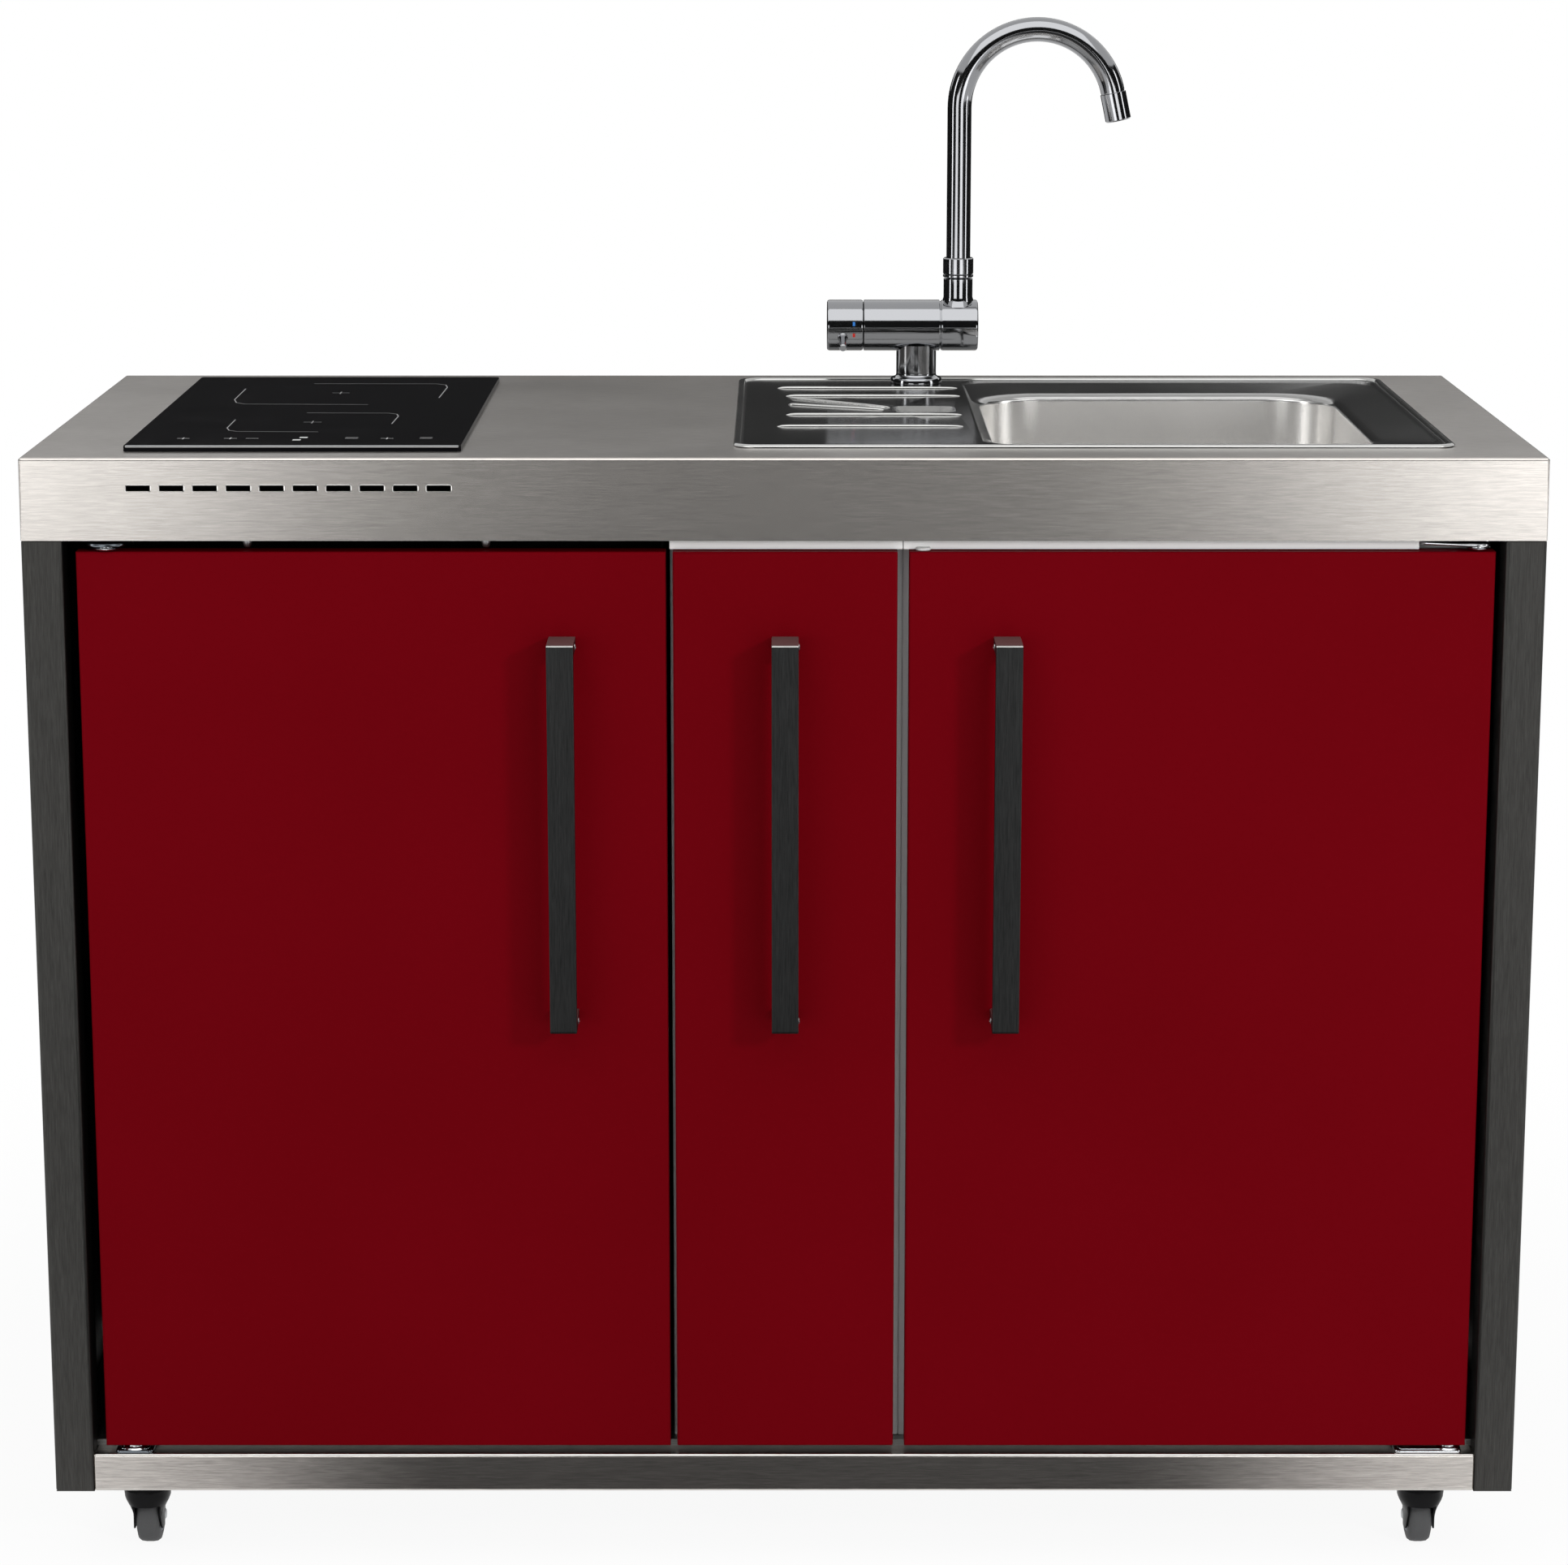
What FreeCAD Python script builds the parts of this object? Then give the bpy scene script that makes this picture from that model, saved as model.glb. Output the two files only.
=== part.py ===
"""Free-standing outdoor kitchen on casters: hob, sink and tap in a steel worktop over three red fronts."""
import FreeCAD
import Part
import Sketcher

import math
import os
import re

doc = FreeCAD.newDocument("OutdoorKitchen")
sheet = doc.addObject("Spreadsheet::Sheet", "Sizes")

# Driving dimensions in millimetres and degrees, one group for each piece
SIZES = {
    # folded steel worktop
    "top_width": 1300, "top_depth": 610, "top_height": 1000, "fascia_height": 71, "top_sheet": 2,
    "vent_length": 20.5, "vent_height": 5, "vent_pitch": 28.4, "vent_drop": 26, "vent_inset": 91,
    # square tube frame and its panels
    "tube_size": 35, "tube_wall": 2, "tube_radius": 3, "caster_height": 72, "panel_sheet": 1.5,
    "panel_setback": 2, "louvre_length": 60, "louvre_height": 8, "louvre_pitch": 24, "louvre_drop": 70,
    "louvre_inset": 70, "base_height": 6, "base_inset": 22, "gusset_size": 72, "gusset_sheet": 4,
    # red fronts
    "door_thickness": 22, "door_setback": 2, "door_top_gap": 10, "door_foot_gap": 7, "door_edge_radius": 2.5,
    "fridge_side_gap": 11, "front_gap": 6, "seam_gap": 10, "sink_side_gap": 8,
    "fridge_front_share": 0.4209, "pullout_front_share": 0.1607,
    # bar handles
    "handle_width": 23, "handle_reach": 45, "handle_length": 340, "handle_bar": 9, "handle_leg": 11,
    "handle_drop": 73, "fridge_handle_inset": 89, "sink_handle_inset": 84, "handle_edge_radius": 1.2,
    # induction hob
    "hob_width": 290, "hob_glass_thickness": 5, "hob_left_inset": 83, "hob_front_inset": 43, "hob_back_inset": 57,
    "hob_lip": 11, "hob_casing_height": 48, "hob_casing_wall": 1.5, "hob_corner_radius": 3,
    "front_coil_share": 0.137, "rear_coil_share": 0.176, "coil_bore_radius": 18, "coil_height": 8,
    "front_coil_place_share": 0.333, "rear_coil_place_share": 0.755,
    # pressed sink with drainer
    "sink_width": 625, "sink_right_inset": 69, "sink_front_inset": 63, "sink_back_inset": 42, "sink_rim_height": 3,
    "sink_rim_width": 14, "sink_sheet": 1.5, "sink_corner_radius": 20, "tray_drop": 6, "tray_radius": 14,
    "tap_ledge": 66, "bowl_width": 342, "bowl_margin": 20.5, "bowl_height": 160, "bowl_radius": 62,
    "bowl_right_inset": 62, "bowl_clearance": 4, "rib_length": 176, "rib_width": 7, "rib_height": 3.5,
    "rib_pitch": 72, "rib_inset": 30, "sink_lip": 12, "cutout_clearance": 1,
    # waste and trap
    "waste_radius": 45, "waste_flange_radius": 55, "waste_flange_height": 2, "waste_cup_height": 40,
    "waste_cup_wall": 2, "waste_clearance": 0.2, "tail_radius": 20, "tail_length": 90, "trap_radius": 34,
    "trap_height": 110, "outlet_radius": 20, "outlet_length": 150,
    # mixer tap
    "tap_inset_x": 172, "tap_inset_y": 32, "tap_flange_radius": 25, "tap_flange_height": 6, "tap_stem_radius": 17,
    "tap_body_radius": 24.5, "tap_axis_height": 57, "tap_body_left": 51, "tap_body_right": 59, "tap_end_length": 36,
    "tap_knob_length": 35, "tap_knob_gap": 0.4, "tap_groove": 0.8, "lever_radius": 3.4, "lever_length": 20,
    "lever_dip": 24, "lever_inset": 15, "spout_offset": 40, "spout_radius": 11.5, "spout_wall": 1.5,
    "socket_radius": 14, "socket_top": 46, "collar_radius": 14.6, "collar_height": 19, "collar_gap": 0.3,
    "spout_arc_radius": 74, "spout_arc_height": 265, "spout_arc_sweep": 168, "aerator_radius": 12.3,
    "aerator_length": 28, "aerator_wall": 2.5, "shank_radius": 13, "shank_length": 55, "shank_nut_radius": 19.5,
    "shank_nut_height": 9,
    # refrigerator
    "fridge_inset": 4, "compressor_bay": 156, "fridge_wall": 30, "fridge_liner_wall": 2, "fridge_top_drop": 4,
    "door_liner_depth": 20, "door_liner_inset": 20, "door_liner_wall": 14, "door_bin_depth": 14,
    "gasket_depth": 10, "gasket_width": 14, "gasket_inset": 26, "seal_gap": 0.3, "shelf_thickness": 5,
    "shelf_front_gap": 67, "shelf_clearance": 0.3, "compressor_radius": 58, "compressor_height": 130,
    "compressor_inset": 84, "compressor_side": 150,
    # pivot hinges
    "pivot_radius": 4, "pivot_clearance": 0.05, "pivot_depth": 14, "pivot_play": 0.4, "hinge_plate": 3,
    "hinge_rise": 4, "hinge_width": 34, "hinge_seat": 26, "fridge_pivot_inset": 25, "sink_pivot_inset": 14,
    "sink_hinge_arm": 60, "hinge_nose": 11, "hinge_foot": 12, "bush_radius": 8,
    # carcasses and pull-out
    "carcass_setback": 33, "carcass_back_gap": 77, "carcass_wall": 12, "carcass_rise": 2, "carcass_reveal": 3,
    "carcass_apron": 60, "carcass_split": 0.2, "runner_width": 13, "runner_height": 28, "runner_back_gap": 36,
    "runner_groove_depth": 8, "runner_groove_height": 18, "runner_play": 0.3, "slide_proud": 1,
    "lower_runner_rise": 60, "upper_runner_rise": 440, "frame_plate": 3, "frame_plate_margin": 30,
    "tray_back_gap": 54, "pullout_tray_height": 90, "pullout_tray_wall": 2, "tray_runner_drop": 20,
    # casters
    "caster_inset_x": 74, "caster_inset_y": 50, "caster_plate_size": 58, "caster_plate_sheet": 2.5,
    "caster_crown_radius": 21, "caster_crown_height": 15, "caster_swivel_gap": 0.4, "caster_trail": 16,
    "kingpin_radius": 5, "wheel_radius": 25, "wheel_width": 21, "wheel_edge_radius": 5, "hub_radius": 16,
    "hub_proud": 0.5, "axle_radius": 3, "axle_clearance": 0.05, "fork_leg": 4, "fork_gap": 1.6, "fork_leg_back": 8,
    "fork_leg_ahead": 14, "fork_leg_drop": 9, "pedal_length": 26, "pedal_thickness": 4.5, "pedal_pin_radius": 2,
    "pedal_play": 0.3, "pedal_pin_ahead": 10, "pedal_rise": 4,
    # shared allowance that lets every cut run past its piece
    "overrun": 2,
}
VENT_COUNT = 10
LOUVRE_COUNT = 8
RIB_COUNT = 5
CORNER_SLICES = 3
SHELF_SHARES = (0.34, 0.66)

# Places worked out from the sizes: X to the right, Y towards the back, Z up from the floor
PLACES = {
    "handle_out": "handle_reach - door_setback",
    "front_y": "-(top_depth - handle_out) / 2",
    "back_y": "front_y + top_depth",
    "left_x": "-top_width / 2",
    "right_x": "top_width / 2",
    "skirt_z": "top_height - fascia_height",
    "rail_top_z": "caster_height + tube_size",
    "base_top_z": "rail_top_z + base_height",
    "door_y": "front_y + door_setback",
    "door_back_y": "door_y + door_thickness",
    "door_top_z": "skirt_z - door_top_gap",
    "door_foot_z": "rail_top_z + door_foot_gap",
    "door_height": "door_top_z - door_foot_z",
    "clear_width": "top_width - 2 * tube_size - fridge_side_gap - front_gap - seam_gap - sink_side_gap",
    "fridge_front_width": "clear_width * fridge_front_share",
    "pullout_front_width": "clear_width * pullout_front_share",
    "sink_front_width": "clear_width - fridge_front_width - pullout_front_width",
    "fridge_front_x": "left_x + tube_size + fridge_side_gap",
    "pullout_front_x": "fridge_front_x + fridge_front_width + front_gap",
    "sink_front_x": "pullout_front_x + pullout_front_width + seam_gap",
    "hob_depth": "top_depth - hob_front_inset - hob_back_inset",
    "hob_x": "left_x + hob_left_inset",
    "hob_y": "front_y + hob_front_inset",
    "sink_depth": "top_depth - sink_front_inset - sink_back_inset",
    "bowl_depth": "tray_depth - 2 * bowl_margin",
    "sink_x": "right_x - sink_right_inset - sink_width",
    "sink_y": "front_y + sink_front_inset",
    "sink_top_z": "top_height + sink_rim_height",
    "tray_z": "sink_top_z - tray_drop",
    "tray_depth": "sink_depth - sink_rim_width - tap_ledge",
    "bowl_x": "sink_x + sink_width - bowl_right_inset - bowl_width",
    "bowl_y": "sink_y + sink_rim_width + bowl_margin",
    "bowl_z": "sink_top_z - bowl_height",
    "waste_x": "bowl_x + bowl_width / 2",
    "waste_y": "bowl_y + bowl_depth / 2",
    "tap_x": "sink_x + tap_inset_x",
    "tap_y": "sink_y + sink_depth - tap_inset_y",
    "tap_z": "top_height + tap_axis_height",
    "spout_x": "tap_x + spout_offset",
    "spout_foot_z": "tap_z + socket_top + collar_gap",
    "arc_z": "top_height + spout_arc_height",
    "fridge_x": "fridge_front_x + fridge_inset",
    "fridge_width": "fridge_front_width - 2 * fridge_inset",
    "seal_y": "door_back_y + door_liner_depth + gasket_depth",
    "fridge_y": "seal_y + seal_gap",
    "fridge_depth": "back_y - compressor_bay - fridge_y",
    "fridge_height": "door_top_z - fridge_top_drop - base_top_z",
    "cavity_x": "fridge_x + fridge_wall",
    "cavity_z": "base_top_z + fridge_wall",
    "cavity_width": "fridge_width - 2 * fridge_wall",
    "cavity_height": "fridge_height - 2 * fridge_wall",
    "cavity_depth": "fridge_depth - fridge_wall",
    "carcass_y": "front_y + carcass_setback",
    "carcass_depth": "back_y - carcass_back_gap - carcass_y",
    "carcass_back_y": "back_y - carcass_back_gap - carcass_wall",
    "carcass_height": "door_top_z + carcass_rise - base_top_z",
    "pullout_carcass_x": "pullout_front_x - carcass_reveal",
    "pullout_carcass_width": "pullout_front_width + carcass_reveal + seam_gap / 2",
    "sink_carcass_x": "pullout_carcass_x + pullout_carcass_width + carcass_split",
    "sink_carcass_width": "sink_front_x + sink_front_width - sink_carcass_x",
    "runner_y": "carcass_y + overrun",
    "runner_length": "carcass_back_y - runner_back_gap - runner_y",
    "pullout_tray_y": "door_back_y + frame_plate",
    "pullout_tray_depth": "carcass_back_y - tray_back_gap - pullout_tray_y",
    "shelf_depth": "cavity_depth - fridge_liner_wall - shelf_clearance - shelf_front_gap",
    "pullout_tray_x": "pullout_carcass_x + carcass_wall + runner_width + slide_proud",
    "pullout_tray_width": "pullout_carcass_width - 2 * (carcass_wall + runner_width + slide_proud)",
    "pivot_y": "door_y + door_thickness / 2",
    "fridge_pivot_x": "fridge_front_x + fridge_pivot_inset",
    "sink_pivot_x": "sink_front_x + sink_front_width - sink_pivot_inset",
    "hinge_top_z": "door_top_z + hinge_rise",
    "hinge_foot_z": "rail_top_z + hinge_plate",
    "fork_top_z": "caster_height - caster_plate_sheet - caster_swivel_gap",
    "fork_gap_half": "wheel_width / 2 + hub_proud + fork_gap",
    "pedal_pin_z": "2 * wheel_radius + pedal_rise",
}

for row, (alias, number) in enumerate(SIZES.items(), start=1):
    sheet.set(f"A{row}", alias)
    sheet.set(f"B{row}", str(number))
    sheet.setAlias(f"B{row}", alias)
doc.recompute()

probe = doc.addObject("App::FeaturePython", "Probe")
probe.addProperty("App::PropertyFloat", "Number")
nodes = {}


def bound(text):
    """An expression on the sheet's cells, with every named place written out."""
    def swap(match):
        name = match.group(0)
        if name in PLACES:
            return "(" + bound(PLACES[name]) + ")"
        return "Sizes." + name if name in SIZES else name
    return re.sub(r"[a-z][a-z_]*", swap, text)


def value(text):
    """The number that an expression has now."""
    probe.setExpression("Number", bound(text))
    probe.recompute()
    return probe.Number


def bind(item, **texts):
    for prop, text in texts.items():
        item.setExpression(prop.replace("_", "."), bound(text))
    return item


def place(item, x, y, z):
    for axis, text in zip("xyz", (x, y, z)):
        item.setExpression("Placement.Base." + axis, bound(text))
    return item


def box(x, y, z, length, width, height, label="block"):
    item = doc.addObject("Part::Box", label)
    bind(item, Length=length, Width=width, Height=height)
    return place(item, x, y, z)


def turn(item, axis):
    """Points a round piece, made upright, along another axis."""
    turns = {"x": ((0, 1, 0), 90), "y": ((1, 0, 0), -90), "z": ((0, 0, 1), 0)}
    direction, angle = turns[axis]
    item.Placement.Rotation = FreeCAD.Rotation(FreeCAD.Vector(*direction), angle)
    return item


def rod(x, y, z, radius, length, axis="z", label="rod"):
    item = doc.addObject("Part::Cylinder", label)
    bind(item, Radius=radius, Height=length)
    return place(turn(item, axis), x, y, z)


def slice_of(x, y, z, radius, height, number):
    """One slice of an upright round piece, counted from +X; a quarter turn has CORNER_SLICES of them."""
    item = rod(x, y, z, radius, height)
    item.Angle = 90 / CORNER_SLICES
    item.Placement.Rotation = FreeCAD.Rotation(FreeCAD.Vector(0, 0, 1), number * 90 / CORNER_SLICES)
    return item


def common(first, second):
    item = doc.addObject("Part::Common", "shared")
    item.Base, item.Tool = first, second
    return item


def cut(base, *tools):
    for tool in tools:
        item = doc.addObject("Part::Cut", "cut")
        item.Base, item.Tool = base, tool
        base = item
    return base


def fuse(*pieces):
    item = doc.addObject("Part::MultiFuse", "joined")
    item.Shapes = list(pieces)
    item.Refine = True
    return item


def group(*pieces):
    """Separate solids that share one node."""
    item = doc.addObject("Part::Compound", "group")
    item.Links = list(pieces)
    return item


def edge_numbers(shape, kind):
    """The edges along an axis, around the front face, or around the ends of a round piece."""
    numbers = []
    for number, edge in enumerate(shape.Edges, start=1):
        span = edge.BoundBox
        lengths = {"x": span.XLength, "y": span.YLength, "z": span.ZLength}
        if kind == "rims":
            keep = edge.isClosed()
        elif kind == "front":
            keep = span.YMax < shape.BoundBox.Center.y
        else:
            keep = max(lengths, key=lengths.get) == kind
        if keep:
            numbers.append(number)
    return numbers


def rounded(base, kind, radius):
    doc.recompute()
    item = doc.addObject("Part::Fillet", "rounded")
    item.Base = base
    size = value(radius)
    item.Edges = [(number, size, size) for number in edge_numbers(base.Shape, kind)]
    return item


def tube(x, y, z, length, width, height, axis):
    """Square tube with rounded corners along one axis."""
    outer = rounded(box(x, y, z, length, width, height), axis, "tube_radius")
    starts = {"x": x, "y": y, "z": z}
    spans = {"x": length, "y": width, "z": height}
    for name in "xyz":
        shift = "- overrun" if name == axis else "+ tube_wall"
        grow = "+ 2 * overrun" if name == axis else "- 2 * tube_wall"
        starts[name] = f"({starts[name]}) {shift}"
        spans[name] = f"({spans[name]}) {grow}"
    return cut(outer, box(*starts.values(), *spans.values()))


def node(label, item):
    item.Label = label
    nodes[label] = item
    return item


# Frame: four posts, bottom rails, the top frame inside the worktop, corner plates and panels
def build_frame():
    post_height = "skirt_z - caster_height"
    inner_x = "right_x - tube_size"
    for name, y in (("front_posts", "front_y"), ("rear_posts", "back_y - tube_size")):
        pair = [tube(x, y, "caster_height", "tube_size", "tube_size", post_height, "z")
                for x in ("left_x", inner_x)]
        node(name, group(*pair))
    span_x = "top_width - 2 * tube_size"
    span_y = "top_depth - 2 * tube_size"
    node("rail_front", tube("left_x + tube_size", "front_y", "caster_height", span_x,
                            "tube_size", "tube_size", "x"))
    node("rail_rear", tube("left_x + tube_size", "back_y - tube_size", "caster_height", span_x,
                           "tube_size", "tube_size", "x"))
    node("side_rails", group(*[tube(x, "front_y + tube_size", "caster_height", "tube_size", span_y,
                                    "tube_size", "y") for x in ("left_x", inner_x)]))
    top_x = "left_x + top_sheet"
    top_y = "front_y + top_sheet"
    along = [tube(top_x, y, "skirt_z", "top_width - 2 * top_sheet", "tube_size", "tube_size", "x")
             for y in (top_y, "back_y - top_sheet - tube_size")]
    across = [tube(x, "front_y + top_sheet + tube_size", "skirt_z", "tube_size",
                   "top_depth - 2 * top_sheet - 2 * tube_size", "tube_size", "y")
              for x in (top_x, "right_x - top_sheet - tube_size")]
    node("top_frame", group(*along, *across))
    plates = [box(x, y, "caster_height", "gusset_size", "gusset_size", "gusset_sheet")
              for x in ("left_x + tube_size", "right_x - tube_size - gusset_size")
              for y in ("front_y + tube_size", "back_y - tube_size - gusset_size")]
    node("corner_gussets", group(*plates))


def build_panels():
    node("base_panel", cut(
        box("left_x + tube_size", "front_y + base_inset", "rail_top_z", "top_width - 2 * tube_size",
            "top_depth - 2 * base_inset", "base_height"),
        *[box(x, y, "rail_top_z - overrun", "tube_size", "tube_size", "base_height + 2 * overrun")
          for x in ("left_x + tube_size - overrun - tube_size", "right_x - tube_size + overrun")
          for y in ("front_y", "back_y - tube_size")]))
    panel_z = "rail_top_z"
    panel_height = "skirt_z - rail_top_z"
    back = box("left_x + tube_size", "back_y - panel_setback - panel_sheet", panel_z, "top_width - 2 * tube_size",
               "panel_sheet", panel_height)
    louvres = [box(x, "back_y - panel_setback - panel_sheet - overrun",
                   f"skirt_z - louvre_drop - {row} * louvre_pitch", "louvre_length",
                   "panel_sheet + 2 * overrun", "louvre_height")
               for row in range(LOUVRE_COUNT)
               for x in ("fridge_x + louvre_inset", "fridge_x + fridge_width - louvre_inset - louvre_length",
                         "fridge_x + fridge_width / 2 - louvre_length / 2")]
    node("back_panel", cut(back, fuse(*louvres)))
    node("side_panels", group(*[box(x, "front_y + tube_size", panel_z, "panel_sheet", "top_depth - 2 * tube_size",
                                    panel_height)
                                for x in ("left_x + panel_setback",
                                          "right_x - panel_setback - panel_sheet")]))


# Worktop: one folded sheet, open below, with cut-outs for hob and sink and a row of vent slots
def build_worktop():
    outer = box("left_x", "front_y", "skirt_z", "top_width", "top_depth", "fascia_height")
    hollow = box("left_x + top_sheet", "front_y + top_sheet", "skirt_z - overrun", "top_width - 2 * top_sheet",
                 "top_depth - 2 * top_sheet", "fascia_height - top_sheet + overrun")
    hob_hole = box("hob_x + hob_lip", "hob_y + hob_lip", "top_height - top_sheet - overrun",
                   "hob_width - 2 * hob_lip", "hob_depth - 2 * hob_lip", "top_sheet + 2 * overrun")
    sink_hole = box("sink_x + sink_lip", "sink_y + sink_lip", "top_height - top_sheet - overrun",
                    "sink_width - 2 * sink_lip", "sink_depth - 2 * sink_lip", "top_sheet + 2 * overrun")
    slots = [box(f"left_x + vent_inset + {index} * vent_pitch", "front_y - overrun",
                 "top_height - vent_drop - vent_height / 2", "vent_length", "top_sheet + 2 * overrun", "vent_height")
             for index in range(VENT_COUNT)]
    node("worktop", cut(outer, hollow, hob_hole, sink_hole, fuse(*slots)))


# Fronts: each is a padded rectangle with softened front edges and, on a door, two pivot sockets
def build_front(label, x, width, pivot_x=None):
    body = doc.addObject("PartDesign::Body", label + "_body")
    sketch = body.newObject("Sketcher::SketchObject", label + "_outline")
    plane = [item for item in body.Origin.OriginFeatures if item.Role == "XZ_Plane"][0]
    sketch.AttachmentSupport = [(plane, "")]
    sketch.MapMode = "FlatFace"
    corners = [FreeCAD.Vector(0, 0, 0), FreeCAD.Vector(value(width), 0, 0),
               FreeCAD.Vector(value(width), value("door_height"), 0), FreeCAD.Vector(0, value("door_height"), 0)]
    for index, corner in enumerate(corners):
        sketch.addGeometry(Part.LineSegment(corner, corners[(index + 1) % len(corners)]))
    for index in range(len(corners)):
        sketch.addConstraint(Sketcher.Constraint("Coincident", index, 2, (index + 1) % len(corners), 1))
    for index in (0, 2):
        sketch.addConstraint(Sketcher.Constraint("Horizontal", index))
    for index in (1, 3):
        sketch.addConstraint(Sketcher.Constraint("Vertical", index))
    sketch.addConstraint(Sketcher.Constraint("Coincident", 0, 1, -1, 1))
    wide = sketch.addConstraint(Sketcher.Constraint("DistanceX", 0, 1, 0, 2, value(width)))
    tall = sketch.addConstraint(Sketcher.Constraint("DistanceY", 1, 1, 1, 2, value("door_height")))
    sketch.setExpression(f"Constraints[{wide}]", bound(width))
    sketch.setExpression(f"Constraints[{tall}]", bound("door_height"))
    pad = body.newObject("PartDesign::Pad", label + "_pad")
    pad.Profile = sketch
    pad.Reversed = True
    pad.setExpression("Length", bound("door_thickness"))
    doc.recompute()
    middle = value("door_thickness / 2")
    front_edges = [f"Edge{index}" for index, edge in enumerate(pad.Shape.Edges, start=1)
                   if edge.BoundBox.YMax < middle]
    fillet = body.newObject("PartDesign::Fillet", label + "_edges")
    fillet.Base = (pad, front_edges)
    fillet.setExpression("Radius", bound("door_edge_radius"))
    place(body, x, "door_y", "door_foot_z")
    if pivot_x is None:
        return node(label, body)
    sockets = [rod(pivot_x, "pivot_y", z, "pivot_radius + pivot_clearance", "pivot_depth + pivot_play + overrun")
               for z in ("door_foot_z - overrun", "door_top_z - pivot_depth - pivot_play")]
    return node(label, cut(body, *sockets))


def build_handle(label, centre_x):
    x = f"{centre_x} - handle_width / 2"
    top_z = "door_top_z - handle_drop"
    outer = rounded(box(x, "door_y - handle_reach", f"{top_z} - handle_length", "handle_width", "handle_reach",
                        "handle_length"), "front", "handle_edge_radius")
    grip = box(f"{x} - overrun", "door_y - handle_reach + handle_bar", f"{top_z} - handle_length + handle_leg",
               "handle_width + 2 * overrun", "handle_reach - handle_bar + overrun", "handle_length - 2 * handle_leg")
    node(label, cut(outer, grip))


# Induction hob: glass plate on the worktop, casing and coils below it
def build_hob():
    node("hob_glass", rounded(box("hob_x", "hob_y", "top_height", "hob_width", "hob_depth", "hob_glass_thickness"),
                              "z", "hob_corner_radius"))
    x = "hob_x + hob_lip + cutout_clearance"
    y = "hob_y + hob_lip + cutout_clearance"
    length = "hob_width - 2 * hob_lip - 2 * cutout_clearance"
    width = "hob_depth - 2 * hob_lip - 2 * cutout_clearance"
    z = "top_height - hob_casing_height"
    hollow = box(f"{x} + hob_casing_wall", f"{y} + hob_casing_wall", f"{z} + hob_casing_wall",
                 f"{length} - 2 * hob_casing_wall", f"{width} - 2 * hob_casing_wall", "hob_casing_height")
    node("hob_casing", cut(box(x, y, z, length, width, "hob_casing_height"), hollow))
    coils = []
    for name in ("front_coil", "rear_coil"):
        radius = f"hob_depth * {name}_share"
        place_x, place_y = "hob_x + hob_width / 2", f"hob_y + hob_depth * {name}_place_share"
        height = "hob_casing_height - hob_casing_wall"
        disc = rod(place_x, place_y, "top_height - coil_height", radius, "coil_height")
        bore = rod(place_x, place_y, "top_height - coil_height - overrun", "coil_bore_radius",
                   "coil_height + 2 * overrun")
        foot = rod(place_x, place_y, f"top_height - ({height})", "coil_bore_radius", height)
        coils.append(fuse(cut(disc, bore), foot))
    node("induction_coils", group(*coils))


# Sink: raised rim, sunk drainer tray with ribs, deep rounded bowl with a waste hole
def build_sink():
    rim = rounded(box("sink_x", "sink_y", "top_height", "sink_width", "sink_depth", "sink_rim_height"),
                  "z", "sink_corner_radius")
    tray_x, tray_y = "sink_x + sink_rim_width", "sink_y + sink_rim_width"
    tray_width = "sink_width - 2 * sink_rim_width"
    pan = rounded(box(f"{tray_x} - sink_sheet", f"{tray_y} - sink_sheet", "tray_z - sink_sheet",
                      f"{tray_width} + 2 * sink_sheet", "tray_depth + 2 * sink_sheet", "tray_drop + sink_sheet"),
                  "z", "tray_radius + sink_sheet")
    recess = rounded(box(tray_x, tray_y, "tray_z", tray_width, "tray_depth", "tray_drop + overrun"),
                     "z", "tray_radius")
    mouth = box("bowl_x - sink_sheet", "bowl_y - sink_sheet", "tray_z - sink_sheet - overrun",
                "bowl_width + 2 * sink_sheet", "bowl_depth + 2 * sink_sheet", "sink_sheet + 2 * overrun")
    tap_hole = rod("tap_x", "tap_y", "top_height - overrun", "shank_radius + cutout_clearance",
                   "sink_rim_height + 2 * overrun")
    ribs = [box(f"{tray_x} + rib_inset", f"{tray_y} + rib_inset + {index} * rib_pitch", "tray_z", "rib_length",
                "rib_width", "rib_height") for index in range(RIB_COUNT)]
    node("sink", fuse(cut(fuse(rim, pan), recess, mouth, tap_hole), *ribs))


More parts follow.
